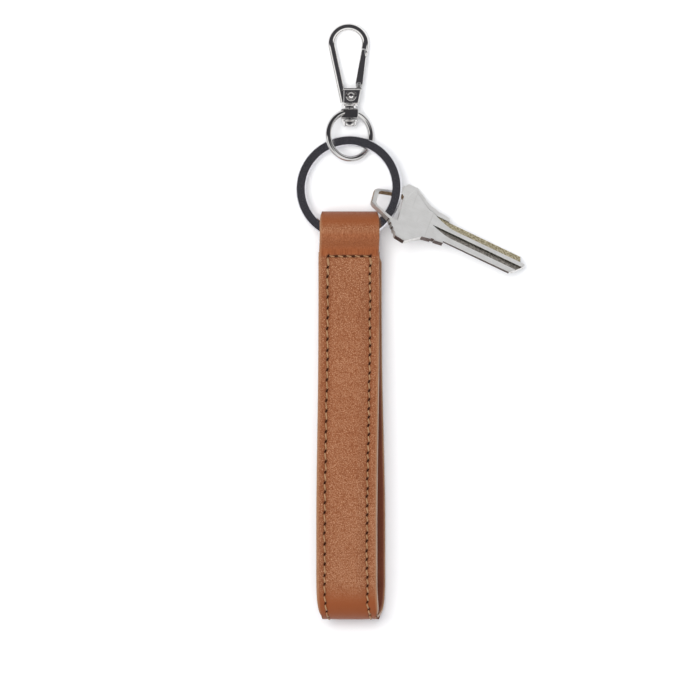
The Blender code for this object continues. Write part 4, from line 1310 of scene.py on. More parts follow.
        # In millimetres
        under = [9.0, 7.6, 6.5, 5.8, 5.1, 4.3, 3.4, 2.0, 0.0]
        under = [value * MM for value in under] + [-value * MM for value in reversed(under[:-1])]
        edge_count = self.edge_turns + len(self.skive) + 2
        side_layers = [Layer.GRAIN.value] * self.edge_turns
        side_layers += [Layer.EDGE.value] * (edge_count - 1 - self.edge_turns)
        layers = [Layer.GRAIN.value] * len(top) + side_layers + [Layer.FLESH.value] * (len(under) + 1)
        layers += side_layers[::-1] + [Layer.GRAIN.value]
        rim = [blend(self.rim_share, 1.0, min(i / self.edge_turns, 1.0)) for i in range(edge_count)]
        bare = [0.0] * (2 * edge_count + len(under))
        rings: list[list[Vector]] = []
        names = ("hole", "rim", "stretched", "tilt_shade", "pressed")
        weights: dict[str, list[list[float]]] = {name: [] for name in names}
        for station in self.route:
            sunk = [self._sunk(station, x) for x in top]
            ring = []
            for x, (depth, _) in zip(top, sunk):
                near = 1.0 - ease((abs(x) - self.row_x) / self.drift_fade)
                ring.append(station.point(x, self._drop(station, x) + depth, near))
            ring += [station.point(x, depth) for x, depth in self._edge(station, Side.RIGHT)]
            ring += [station.point(x, self._drop(station, x) + self.leather) for x in under]
            ring += [station.point(-x, depth) for x, depth in reversed(self._edge(station, Side.LEFT))]
            rings.append(ring)
            # The painted edge shade takes the rim away along the front's right edge
            turned = self._right_edge_shade(station)
            rims = []
            for x in top:
                shown = 1.0 - turned * (x > 0)
                rims.append(self.rim_share * shown * ease((abs(x) - self.rim_start) / self.rim_reach))
            shown = 1.0 - self.edge_shade_rim * turned
            rims += [shown * share for share in rim] + [0.0] * len(under) + rim[::-1]
            weights["hole"].append([hole for _, hole in sunk] + bare)
            weights["rim"].append(rims)
            weights["stretched"].append([station.stretched] * len(ring))
            weights["tilt_shade"].append([station.tilt_shade] * len(ring))
            weights["pressed"].append([self._pressed(station, x) for x in top] + bare)
        return Loft(rings, layers, weights)

    def _band(self, half: float, high: float, low: float, rounding: float) -> Section:
        """A flat band's section with rounded edges, all the way round.

        Args:
            half: half its width.
            high: the depth of its upper side.
            low: the depth of its lower side.
            rounding: the radius of its edges.

        Returns:
            The section as x and depth.
        """
        shares = (-1.0, -0.6, -0.2, 0.2, 0.6, 1.0)
        flat = half - rounding
        points = [(flat * share, high) for share in shares]
        turns = 6
        for i in range(1, turns):
            angle = math.pi * i / turns
            points.append((flat + rounding * math.sin(angle), blend(high, low, (1.0 - math.cos(angle)) / 2)))
        points += [(-x, blend(low, high, (depth - high) / (low - high))) for x, depth in points]
        return points

    def _lining(self) -> Loft:
        """The lining strip inside the loop.

        Returns:
            The loft.
        """
        rings = []
        for station in self.loop:
            high = self.crown_height * station.crown + self.leather + self.lining_lift
            low = high + self.lining + self.lining_swell
            section = self._band(station.half_width - self.lining_inset, high, low, self.lining / 2)
            rings.append([station.point(x, depth) for x, depth in section])
        return Loft(rings, [0] * len(rings[0]))

    def _filler(self) -> Loft:
        """The filler under the crown, tapered at its ends.

        Returns:
            The loft.
        """
        nearly_full = 0.999
        full = [i for i, station in enumerate(self.loop) if station.crown > nearly_full]
        across = [(i / self.core_steps - 1.0) * self.core_half for i in range(2 * self.core_steps + 1)]
        rings = []
        for station in self.loop[full[0] : full[-1] + 1 : self.core_every]:
            section = [(x, self._drop(station, x) + self.leather + self.core_gap) for x in across]
            low = self.crown_height * station.crown + self.leather + self.core_base
            section += [(x, low) for x in reversed(across)]
            rings.append([station.point(x, depth, 1.0) for x, depth in section])
        return Loft(rings, [0] * len(rings[0]))

    def _at(self, run: float) -> Station:
        """The station at this run, between its neighbours.

        Args:
            run: the run along the strap.

        Returns:
            The station, without its folds.
        """
        i = min(max(bisect.bisect_left(self._runs, run), 1), len(self.route) - 1)
        a, b = self.route[i - 1], self.route[i]
        share = (run - a.run) / (b.run - a.run) if b.run > a.run else 0.0
        sizes = ("y", "z", "shift", "half_width", "crown", "drift")
        made = Station(*(blend(getattr(a, size), getattr(b, size), share) for size in sizes))
        made.outward = a.outward.lerp(b.outward, share).normalized()
        made.run = run
        return made

    def _stitch(self, start: float, end: float, x: float, lean: float) -> tuple[list[Vector], list[float]]:
        """One stitch along the strap, diving into its holes at both ends.

        Args:
            start: the run of the first hole.
            end: the run of the second hole.
            x: the row's place across the strap.
            lean: how far the thread crosses the row.

        Returns:
            The thread's middle line and its radii.
        """
        points, radii = [], []
        swell = self.thread_swell * (1.0 - ease((start - self.seam_run) / self.swell_run))
        for i in range(self.stitch_steps + 1):
            share = i / self.stitch_steps
            station = self._at(blend(start + self.thread_gap, end - self.thread_gap, share))
            across = x - lean * (1.0 - 2.0 * share)
            rise = ease(min(share, 1.0 - share) / self.dive_share)
            height = blend(-self.thread_dive, self.thread_rise, rise) - self.row_valley
            points.append(station.point(across, self._drop(station, across) - height, 1.0))
            radii.append((self.thread_radius + swell) * blend(self.thread_taper, 1.0, rise))
        return points, radii

    def _cross_stitch(self, station: Station, index: int) -> tuple[list[Vector], list[float]]:
        """One stitch of the row across the seam.

        Args:
            station: the seam's place along the strap.
            index: which stitch it is, from the left.

        Returns:
            The thread's middle line and its radii.
        """
        points, radii = [], []
        for i in range(self.stitch_steps + 1):
            share = i / self.stitch_steps
            rise = ease(min(share, 1.0 - share) / self.cross_dive_share)
            height = blend(-self.thread_dive, -self.cross_sink, rise) - self.row_valley
            inset = self.thread_gap * (1.0 - 2.0 * share)
            across = -self.row_x + self._cross_step() * (index + share) + inset
            point = station.point(across, -height, 1.0)
            point.y += self.thread_slant * (1.0 - 2.0 * share)
            points.append(point)
            radii.append(self.cross_radius * blend(self.thread_taper, 1.0, rise))
        return points, radii

    def build(self, finishes: Finishes) -> None:
        """Builds every piece of the strap.

        Args:
            finishes: the object's materials.
        """
        mesh = self._strip().mesh("strap_leather", (finishes.grain, finishes.edge, finishes.flesh))
        make_piece("strap_leather", mesh, "strap", "leather", "outer_leather")
        mesh = self._lining().mesh("strap_lining", (finishes.lining,))
        make_piece("strap_lining", mesh, "strap", "lining", "lining_leather")
        mesh = self._filler().mesh("strap_padding", (finishes.filler,))
        padding = make_piece("strap_padding", mesh, "strap", "core", "strap_core")
        rows = {}
        for side, row in self.rows.items():
            row_x = side.value * self.row_x
            rows[side.name.lower()] = [
                self._stitch(start, end, row_x + shift, self.thread_slant)
                for (start, shift), (end, _) in zip(row.places, row.places[1:])
            ]
        seam = self._at(self.seam_run)
        count = round(2 * self.row_x / self._cross_step())
        rows["cross"] = [self._cross_stitch(seam, i) for i in range(count)]
        for name, stitches in rows.items():
            tubes = Tubes()
            for line, radii in stitches:
                tubes.add(line, radii)
            mesh = tubes.mesh(f"thread_{name}", finishes.thread)
            make_piece(f"thread_{name}", mesh, "strap", "thread", f"stitching_{name}")


class Tubes:
    """Round tubes with changing radii, gathered in one mesh."""

    def __init__(self, sides: int = 10) -> None:
        """Starts with no tube.

        Args:
            sides: how many points each section has.
        """
        self.sides = sides
        self.points: list[Vector] = []
        self.faces: list[Sequence[int]] = []

    def add(self, line: Sequence[Vector], radii: Sequence[float]) -> None:
        """Adds one tube with closed ends.

        Args:
            line: its middle line.
            radii: its radius at each point of the line.
        """
        across = None
        start = len(self.points)
        for i, (here, radius) in enumerate(zip(line, radii)):
            along = (line[min(i + 1, len(line) - 1)] - line[max(i - 1, 0)]).normalized()
            if across is None:
                across = along.orthogonal().normalized()
            across = (across - along * across.dot(along)).normalized()
            up = along.cross(across)
            for j in range(self.sides):
                angle = math.tau * j / self.sides
                self.points.append(here + (across * math.cos(angle) + up * math.sin(angle)) * radius)
        self.faces += skin_faces(start, len(line), self.sides)

    def mesh(self, name: str, material: bpy.types.Material) -> bpy.types.Mesh:
        """Builds the mesh.

        Args:
            name: the mesh's name.
            material: its material.

        Returns:
            The mesh.
        """
        mesh = bpy.data.meshes.new(name)
        mesh.from_pydata(self.points, [], self.faces)
        return dressed(mesh, (material,))


class Shapes:
    """Closed meshes that the metal pieces are joined and cut from."""

    block_turns = 5
    plate_turns = 3
    rod_turns = 5
    hoop_steps = 120
    hoop_sides = 28

    @staticmethod
    def filled(name: str, fill: Callable[[bmesh.types.BMesh], None]) -> bpy.types.Mesh:
        """Makes a mesh.

        Args:
            name: the mesh's name.
            fill: puts the faces in an empty shape.

        Returns:
            The mesh, its faces turned outwards.
        """
        return reshaped(bpy.data.meshes.new(name), fill)

    @staticmethod
    def round_off(
        shape: bmesh.types.BMesh, edges: list[bmesh.types.BMEdge], rounding: float, turns: int
    ) -> None:
        """Rounds edges of a shape, if there is a rounding.

        Args:
            shape: the shape.
            edges: which of its edges.
            rounding: their radius, or 0.
            turns: how many faces each rounding has.
        """
        if rounding:
            settings = {"segments": turns, "profile": 0.5, "affect": "EDGES"}
            bmesh.ops.bevel(shape, geom=edges, offset=rounding, **settings)

    @staticmethod
    def block(
        low: Vector, high: Vector, rounding: float = 0.0, widen: float = 1.0, shift: float = 0.0
    ) -> bpy.types.Mesh:
        """A block with rounded edges.

        Args:
            low: its lowest corner.
            high: its highest corner.
            rounding: the radius of its edges.
            widen: how much wider its far end along Y is.
            shift: how far that end is moved in X.

        Returns:
            The mesh.
        """
        size, middle = high - low, (high + low) / 2

        def fill(shape: bmesh.types.BMesh) -> None:
            """Puts the faces in.

            Args:
                shape: the empty shape.
            """
            bmesh.ops.create_cube(shape, size=1.0)
            for vert in shape.verts:
                far = vert.co.y > 0
                across = vert.co.x * size.x * (widen if far else 1.0) + (shift if far else 0.0)
                vert.co = middle + Vector((across, vert.co.y * size.y, vert.co.z * size.z))
            Shapes.round_off(shape, list(shape.edges), rounding, Shapes.block_turns)

        return Shapes.filled("block", fill)

    @staticmethod
    def turned(profile: Section, steps: int = 64) -> bpy.types.Mesh:
        """A turned piece round Z.

        Args:
            profile: radii and heights, from one point on the axis to another.
            steps: how many points each circle has.

        Returns:
            The mesh.
        """

        def fill(shape: bmesh.types.BMesh) -> None:
            """Puts the faces in.

            Args:
                shape: the empty shape.
            """
            rings = []
            for radius, height in profile:
                angles = [math.tau * i / steps for i in range(steps)] if radius else [0.0]
                places = [(radius * math.cos(a), radius * math.sin(a), height) for a in angles]
                rings.append([shape.verts.new(place) for place in places])
            for low, high in zip(rings, rings[1:]):
                for i in range(steps):
                    j = (i + 1) % steps
                    if len(low) == 1:
                        shape.faces.new((low[0], high[i], high[j]))
                    elif len(high) == 1:
                        shape.faces.new((low[i], low[j], high[0]))
                    else:
                        shape.faces.new((low[i], low[j], high[j], high[i]))

        return Shapes.filled("turned", fill)

    @staticmethod
    def rod(radius: float, length: float, rounding: float = 0.0, steps: int = 48) -> bpy.types.Mesh:
        """A rod along Z with rounded ends.

        Args:
            radius: its radius.
            length: its length, centred on the origin.
            rounding: the radius of its ends' edges.
            steps: how many points round it.

        Returns:
            The mesh.
        """
        half = length / 2
        end = [(radius, half)]
        if rounding:
            flat, side = radius - rounding, half - rounding
            angles = [math.pi / 2 * i / Shapes.rod_turns for i in range(Shapes.rod_turns + 1)]
            end = [(flat + rounding * math.sin(a), side + rounding * math.cos(a)) for a in angles]
        profile = [(0.0, half)] + end + [(r, -z) for r, z in reversed(end)] + [(0.0, -half)]
        return Shapes.turned(profile, steps)

    @staticmethod
    def hoop(middle: float, wire: float) -> bpy.types.Mesh:
        """A round ring of round wire, flat in the XY plane.

        Args:
            middle: the radius of the wire's middle line.
            wire: the wire's radius.

        Returns:
            The mesh.
        """
        steps, sides = Shapes.hoop_steps, Shapes.hoop_sides

        def fill(shape: bmesh.types.BMesh) -> None:
            """Puts the faces in.

            Args:
                shape: the empty shape.
            """
            rings = []
            for around in (math.tau * i / steps for i in range(steps)):
                out = Vector((math.cos(around), math.sin(around), 0.0))
                ring = []
                for angle in (math.tau * j / sides for j in range(sides)):
                    reach = middle + wire * math.cos(angle)
                    ring.append(shape.verts.new(out * reach + Vector((0.0, 0.0, wire * math.sin(angle)))))
                rings.append(ring)
            for low, high in zip(rings, rings[1:] + rings[:1]):
                for j in range(sides):
                    k = (j + 1) % sides
                    shape.faces.new((low[j], low[k], high[k], high[j]))

        return Shapes.filled("hoop", fill)

    @staticmethod
    def plate(
        outline: Section, low: float, high: float, rounding: float = 0.0, grow: float = 1.0
    ) -> bpy.types.Mesh:
        """A plate with this outline.

        Args:
            outline: its points in the XY plane.
            low: the height of its lower face.
            high: the height of its upper face.
            rounding: the radius of the edges of both faces.
            grow: how much larger than the lower face the upper face is.

        Returns:
            The mesh.
        """
        middle = sum((Vector(point) for point in outline), Vector((0.0, 0.0))) / len(outline)

        def fill(shape: bmesh.types.BMesh) -> None:
            """Puts the faces in.

            Args:
                shape: the empty shape.
            """
            rings = []
            for height, scale in ((low, 1.0), (high, grow)):
                places = [middle + (Vector(point) - middle) * scale for point in outline]
                rings.append([shape.verts.new((place.x, place.y, height)) for place in places])
            faces = [shape.faces.new(ring) for ring in rings]
            count = len(outline)
            for i in range(count):
                j = (i + 1) % count
                shape.faces.new((rings[0][i], rings[0][j], rings[1][j], rings[1][i]))
            edges = [edge for face in faces for edge in face.edges]
            Shapes.round_off(shape, edges, rounding, Shapes.plate_turns)

        return Shapes.filled("plate", fill)

    @staticmethod
    def moved(mesh: bpy.types.Mesh, place: Matrix) -> bpy.types.Mesh:
        """The same mesh after a move."""
        mesh.transform(place)
        return mesh


class Fusion:
    """One closed mesh, joined and cut from others."""

    def __init__(self, mesh: bpy.types.Mesh) -> None:
        """Starts from a mesh."""
        self.carrier = self._carry(mesh)
        self.others: list[bpy.types.Object] = []

    @staticmethod
    def _carry(mesh: bpy.types.Mesh) -> bpy.types.Object:
        """A passing object that holds a mesh.

        Args:
            mesh: the mesh.

        Returns:
            The object.
        """
        carrier = bpy.data.objects.new(mesh.name, mesh)
        bpy.context.scene.collection.objects.link(carrier)
        return carrier

    def _use(self, operation: str, meshes: Iterable[bpy.types.Mesh]) -> Fusion:
        """Adds a step for each mesh.

        Args:
            operation: UNION or DIFFERENCE.
            meshes: what is joined on or cut away.

        Returns:
            The same fusion.
        """
        for mesh in meshes:
            other = self._carry(mesh)
            step = self.carrier.modifiers.new(operation.lower(), "BOOLEAN")
            step.operation = operation
            step.solver = "EXACT"
            step.object = other
            self.others.append(other)
        return self

    def join(self, *meshes: bpy.types.Mesh) -> Fusion:
        """Joins meshes on."""
        return self._use("UNION", meshes)

    def cut(self, *meshes: bpy.types.Mesh) -> Fusion:
        """Cuts meshes away."""
        return self._use("DIFFERENCE", meshes)

    def mesh(
        self,
        materials: Sequence[bpy.types.Material],
        choose: Callable[[bpy.types.MeshPolygon], int] | None = None,
    ) -> bpy.types.Mesh:
        """Works out the result and clears what it came from.

        Args:
            materials: its materials.
            choose: gives each face's material index, if there are several.

        Returns:
            The mesh.
        """
        view = bpy.context.evaluated_depsgraph_get()
        mesh = bpy.data.meshes.new_from_object(self.carrier.evaluated_get(view))
        for item in (self.carrier, *self.others):
            data = item.data
            bpy.data.objects.remove(item, do_unlink=True)
            bpy.data.meshes.remove(data)
        dressed(mesh, materials, SMOOTH_ANGLE)
        for face in mesh.polygons:
            face.material_index = choose(face) if choose else 0
        return mesh


def keep_flats(piece: bpy.types.Object) -> None:
    """Shades broad faces flat and rounded edges soft."""
    piece.modifiers.new("flat_faces", "WEIGHTED_NORMAL").keep_sharp = True


@dataclass
class Layout:
    """Where the ring, the eye, the hook and the key lie, from the sizes that place them."""

    keeper_axis_y: float = KEEPER_AXIS_Y
    keeper_axis_z: float = KEEPER_AXIS_Z
    ring_centre_y: float = 86.46 * MM
    ring_top_z: float = 3.75 * MM
    ring_roll: float = math.radians(6.2)
    ring_middle: float = 15.9 * MM
    eye_roll: float = math.radians(26.0)
    eye_wire: float = 1.0 * MM
    eye_middle: float = 7.8 * MM
    eye_floor_gap: float = 0.15 * MM
    eye_side: float = 0.2 * MM
    eye_along: float = 1.85 * MM
    hook_reach: float = 36.0 * MM
    hook_tip_rest: float = 1.15 * MM
    key_angle: float = math.radians(-22.3)
    key_heading: float = math.radians(-25.5)
    key_tilt: float = math.radians(40.5)
    key_slope: float = math.radians(5.5)
    key_side_shift: float = -0.1 * MM
    key_drop: float = 0.2 * MM
    key_thread: float = 7.5 * MM

    def ring(self) -> Matrix:
        """The centre of the split ring, which leans from the keeper down to its far side.

        Returns:
            Its place.
        """
        reach = self.ring_centre_y + self.ring_middle - self.keeper_axis_y
        incline = math.asin((self.keeper_axis_z - self.ring_top_z) / reach)
        turn = Matrix.Rotation(-incline, 4, "X") @ Matrix.Rotation(-self.ring_roll, 4, "Y")
        shift = Matrix.Translation((0.0, self.ring_centre_y - self.keeper_axis_y, 0.0))
        return Matrix.Translation((0.0, self.keeper_axis_y, self.keeper_axis_z)) @ turn @ shift

    def _on_ring(self, angle: float) -> Vector:
        """The middle of the ring's wire at this angle."""
        return self.ring() @ (Vector((math.cos(angle), math.sin(angle), 0.0)) * self.ring_middle)

    def hook(self) -> Matrix:
        """The centre of the eye, with the hook's tip brought down to the table.

        Returns:
            Its place.
        """
        height = self.eye_floor_gap + self.eye_wire + self.eye_middle * math.sin(self.eye_roll)
        pitch = Matrix.Rotation(-math.asin((height - self.hook_tip_rest) / self.hook_reach), 4, "X")
        band = self._on_ring(math.pi / 2)
        offset = Vector((self.eye_side, self.eye_along, height - band.z))
        return Matrix.Translation(band + offset) @ pitch

    def key(self) -> Matrix:
        """The end of the key's bow, with X along the key.

        Returns:
            Its place.
        """
        turn = Matrix.Rotation(self.key_heading, 4, "Z") @ Matrix.Rotation(self.key_slope, 4, "Y")
        turn = turn @ Matrix.Rotation(-self.key_tilt, 4, "X")
        shift = Matrix.Translation((-self.key_thread, self.key_side_shift, -self.key_drop))
        return Matrix.Translation(self._on_ring(self.key_angle)) @ turn @ shift


@dataclass
class MetalPiece:
    """A metal piece or casting, with where the metal lies and the finishes it takes."""

    layout: Layout
    finishes: Finishes

    def build(self) -> None:
        """Builds the pieces."""
        raise NotImplementedError


@dataclass
class SplitRing(MetalPiece):
    """The flat split ring: one wire wound twice round, with rounded edges."""

    outer: float = 17.5 * MM
    width: float = 3.2 * MM
    thickness: float = 1.05 * MM
    bevel_width: float = 0.28 * MM
    bevel_depth: float = 0.48 * MM
    coil_gap: float = 0.15 * MM
    climb: float = math.radians(30.0)
    climb_middle: float = math.radians(-90.0)
    step: float = math.radians(2.5)

    def _section(self) -> Section:
        """The wire's section, as distance from its middle and height.

        Returns:
            The section.
        """
        across, up = self.width / 2, self.thickness / 2
        flat, side = across - self.bevel_width, up - self.bevel_depth
        quarter = [(across, side), (flat, up)]
        half = quarter + [(-x, z) for x, z in reversed(quarter)]
        return half + [(x, -z) for x, z in reversed(half)]

    def build(self) -> None:
        """Builds the ring, which climbs one coil where the keeper hides it."""
        half = (self.thickness + self.coil_gap) / 2
        turns = 2 * math.tau - self.climb
        start = self.climb_middle - math.tau + self.climb / 2
        count = round(turns / self.step)
        rings = []
        for i in range(count + 1):
            turned = turns * i / count
            out = Vector((math.cos(start + turned), math.sin(start + turned), 0.0))
            level = blend(-half, half, ease((turned - math.tau + self.climb) / self.climb))
            middle = self.outer - self.width / 2
            rings.append([out * (middle + x) + Vector((0.0, 0.0, level + z)) for x, z in self._section()])
        mesh = Loft(rings, [0] * len(rings[0])).mesh("split_ring", (self.finishes.ring,), SMOOTH_ANGLE)
        keep_flats(make_piece("split_ring", mesh, "ring", "ring", "key_ring", place=self.layout.ring()))


@dataclass
class SwivelEye(MetalPiece):
    """The rolled round eye with its level lug, and the headed post that turns in it."""

    lug_width: float = 5.8 * MM
    lug_depth: float = 3.6 * MM
    lug_bottom: float = 5.4 * MM
    lug_top: float = 8.7 * MM
    lug_round: float = 0.45 * MM
    bore: float = 1.2 * MM
    post_radius: float = 1.0 * MM
    post_end: float = 12.2 * MM
    collar_radius: float = 2.75 * MM
    collar_top: float = 5.1 * MM
    head_radius: float = 2.3 * MM
    head_top: float = 4.4 * MM
    head_bottom: float = 2.8 * MM
    head_round: float = 0.7 * MM
    head_turns: int = 6

    def _post(self) -> Section:
        """The post's profile from its end to its rounded head.

        Returns:
            Radii and heights.
        """
        radius = self.post_radius
        profile = [(0.0, self.post_end), (radius, self.post_end), (radius, self.collar_top)]
        profile += round_edge(self.collar_radius, self.head_top, self.collar_top)
        profile.append((self.head_radius, self.head_top))
        head = self.head_radius - self.head_round
        for i in range(self.head_turns + 1):
            angle = math.pi / 2 * i / self.head_turns
            rise = self.head_round * (1.0 - math.sin(angle))
            profile.append((head + self.head_round * math.cos(angle), self.head_bottom + rise))
        profile.append((0.0, self.head_bottom))
        return profile

    def build(self) -> None:
        """Builds the eye and the post."""
        layout, finishes = self.layout, self.finishes
        hoop = Shapes.hoop(layout.eye_middle, layout.eye_wire)
        hoop.transform(Matrix.Rotation(layout.eye_roll, 4, "Y"))
        low = Vector((-self.lug_width / 2, self.lug_bottom, -self.lug_depth / 2))
        high = Vector((self.lug_width / 2, self.lug_top, self.lug_depth / 2))
        lug = Shapes.block(low, high, self.lug_round)
        bore = Shapes.moved(Shapes.rod(self.bore, 2 * self.lug_top), upright(self.lug_top))
        mesh = Fusion(hoop).join(lug).cut(bore).mesh((finishes.eye,))
        eye = make_piece("eye_casting", mesh, "eye", "hook", "swivel_eye", place=layout.hook())
        keep_flats(eye)
        mesh = Fusion(Shapes.moved(Shapes.turned(self._post()), upright(0.0))).mesh((finishes.hook,))
        make_piece("post_rivet", mesh, "hook", "hook", "swivel_post", place=layout.hook())


def upright(y: float) -> Matrix:
    """A turned piece's Z axis laid along Y, at this height."""
    return Matrix.Translation((0.0, y, 0.0)) @ Matrix.Rotation(-math.pi / 2, 4, "X")


@dataclass
class SnapHook(MetalPiece):
    """The snap hook: its casting, and its sprung gate with pin and spring."""

    wire: float = 1.22 * MM
    wire_height: float = 1.1 * MM
    arc_radius: float = 5.6 * MM
    arc_x: float = -0.4 * MM
    arc_y: float = 30.4 * MM
    arm_lean: float = math.radians(12.0)
    arm_foot_y: float = 10.9 * MM
    neck_radius: float = 2.05 * MM
    neck_bottom: float = 8.95 * MM
    flange_radius: float = 2.7 * MM
    flange_bottom: float = 9.6 * MM
    flange_top: float = 10.4 * MM
    base_bottom_width: float = 4.9 * MM
    base_top_width: float = 5.9 * MM
    base_depth: float = 4.6 * MM
    base_top: float = 15.6 * MM
    base_side: float = 0.45 * MM
    base_top_shift: float = 0.55 * MM
    base_round: float = 0.4 * MM
    base_sink: float = 0.15 * MM
    brow_overhang: float = 0.3 * MM
    brow_round: float = 0.3 * MM
    brow_radius: float = 0.42 * MM
    brow_rise: float = 0.12 * MM
    badge_y: float = 12.9 * MM
    badge_x: float = 0.5 * MM
    badge_radius: float = 1.9 * MM
    badge_depth: float = 0.3 * MM
    bore: float = 1.2 * MM
    bore_end: float = 12.4 * MM
    pin_y: float = 17.0 * MM
    pin_radius: float = 0.35 * MM
    pin_clearance: float = 0.2 * MM
    gate_lean: float = math.radians(-9.2)
    gate_length: float = 11.5 * MM
    gate_width: float = 2.2 * MM
    gate_depth: float = 3.0 * MM
    gate_round: float = 0.4 * MM
    slot_half: float = 1.05 * MM
    slot_height: float = 3.2 * MM
    tongue_thickness: float = 0.7 * MM
    tongue_gap: float = 0.25 * MM
    tongue_radius: float = 0.85 * MM
    tongue_root_share: float = 0.7
    nose_gap: float = 0.25 * MM
    nose_lap: float = 2.3 * MM
    nose_split: float = 0.4 * MM
    stud_radius: float = 0.62 * MM
    stud_length: float = 3.0 * MM
    stud_round: float = 0.5 * MM
    spring_wire: float = 0.11 * MM
    spring_radius: float = 0.68 * MM
    spring_turns: float = 1.75
    spring_pitch: float = 0.3 * MM
    spring_gap: float = 0.15 * MM
    spring_leg: float = 1.6 * MM
    spring_steps: int = 32
    spring_sides: int = 12
    wire_sides: int = 32
    arm_steps: int = 8
    arc_steps: int = 60
    gate_steps: int = 16
    badge_steps: int = 64
    gate_edge_share: float = 0.8
    lap_round: float = 0.2 * MM
    rivet_round: float = 0.2 * MM
    overrun: float = 1.0 * MM

    def _arc(self, angle: float) -> Vector:
        """A point on the middle line of the hook's arc."""
        across, along = self.arc_radius * math.cos(angle), self.arc_radius * math.sin(angle)
        return Vector((self.arc_x + across, self.arc_y + along, 0.0))

    def _along_gate(self) -> Vector:
        """Unit vector up the closed gate."""
        return Vector((math.sin(-self.gate_lean), math.cos(self.gate_lean), 0.0))

    def _pin(self) -> Vector:
        """The gate's pin, on the line that carries the arc straight down."""
        end = self._arc(self.gate_lean)
        return end - self._along_gate() * (end.y - self.pin_y) / math.cos(self.gate_lean)

    def _nose(self) -> Vector:
        """Where the gate's end meets the hook's wire."""
        return self._pin() + self._along_gate() * (self.gate_length + self.nose_gap)

    def _tongue_z(self) -> float:
        """The height of the hinge tongue's middle."""
        return -self.slot_half + self.tongue_gap + self.tongue_thickness / 2

    def _wire(self) -> bpy.types.Mesh:
        """The hook's wire, from its foot on the base over the top to the nose.

        Returns:
            The mesh.
        """
        start = math.pi + self.arm_lean
        left = self._arc(start)
        down = Vector((math.sin(self.arm_lean), -math.cos(self.arm_lean), 0.0))
        foot = left + down * (left.y - self.arm_foot_y) / math.cos(self.arm_lean)
        points = [foot.lerp(left, i / self.arm_steps) for i in range(self.arm_steps)]
        shares = [i / self.arc_steps for i in range(self.arc_steps + 1)]
        points += [self._arc(blend(start, self.gate_lean, share)) for share in shares]
        points.append(self._nose() - self._along_gate() * self.nose_lap)
        tubes = Tubes(self.wire_sides)
        tubes.add(points, [self.wire] * len(points))
        flat = Matrix.Diagonal((1.0, 1.0, self.wire_height / self.wire, 1.0))
        return Shapes.moved(tubes.mesh("hook_wire", self.finishes.hook), flat)

    def _base(self) -> list[bpy.types.Mesh]:
        """The base with its brow, the flange with the neck, and the hinge tongue.

        Returns:
            A mesh for each, and one for the nose's stud.
        """
        half, half_width = self.base_depth / 2, self.base_bottom_width / 2
        low = Vector((self.base_side - half_width, self.flange_top - self.base_sink, -half))
        high = Vector((self.base_side + half_width, self.base_top, half))
        widen = self.base_top_width / self.base_bottom_width
        found = [Shapes.block(low, high, self.base_round, widen, self.base_top_shift)]
        brow = Shapes.rod(self.brow_radius, self.base_top_width + self.brow_overhang, self.brow_round)
        level = self.base_top - self.brow_radius
        middle = (self.base_side + self.base_top_shift, level, half + self.brow_rise - self.brow_radius)
        found.append(Shapes.moved(brow, Matrix.Translation(middle) @ Matrix.Rotation(math.pi / 2, 4, "Y")))
        profile = [(0.0, self.flange_top)]
        profile += round_edge(self.flange_radius, self.flange_bottom, self.flange_top)
        neck = self.neck_radius
        profile += [(neck, self.flange_bottom), (neck, self.neck_bottom), (0.0, self.neck_bottom)]
        found.append(Shapes.moved(Shapes.turned(profile), upright(0.0)))
        z, thick = self._tongue_z(), self.tongue_thickness / 2
        pin = self._pin() + Vector((0.0, 0.0, z))
        disc = Shapes.rod(self.tongue_radius, self.tongue_thickness)
        found.append(Shapes.moved(disc, Matrix.Translation(pin)))
        low = Vector((pin.x - self.tongue_radius, self.base_top - self.overrun, z - thick))
        high = Vector((pin.x + self.tongue_radius * self.tongue_root_share, self.pin_y, z + thick))
        found.append(Shapes.block(low, high))
        place = self._nose() - self._along_gate() * self.nose_lap / 2 + Vector((self.wire / 2, 0.0, 0.0))
        stud = Shapes.rod(self.stud_radius, self.stud_length, self.stud_round)
        found.append(Shapes.moved(stud, Matrix.Translation(place)))
        return found

    def _badge(self) -> bpy.types.Mesh:
        """The plain medallion in the base: a rim round a low dome.

        Returns:
            The mesh.
        """
        rim = 0.95
        # Shares of the medallion's radius, and of its depth above the base's face
        shares = ((0.0, 0.1), (0.14, 0.05), (0.3, -0.5), (0.42, -0.95), (0.5, -0.4), (0.57, -0.05))
        shares += ((0.64, -0.4), (0.7, -0.95), (0.77, -0.4), (0.84, 0.15), (0.9, 0.0), (rim, -1.0))
        profile = [(share * self.badge_radius, rise * self.badge_depth) for share, rise in shares]
        base = -self.badge_depth - self.overrun
        profile += [(rim * self.badge_radius, base), (0.0, base)]
        place = (self.badge_x, self.badge_y, self.base_depth / 2)
        return Shapes.moved(Shapes.turned(profile), Matrix.Translation(place))

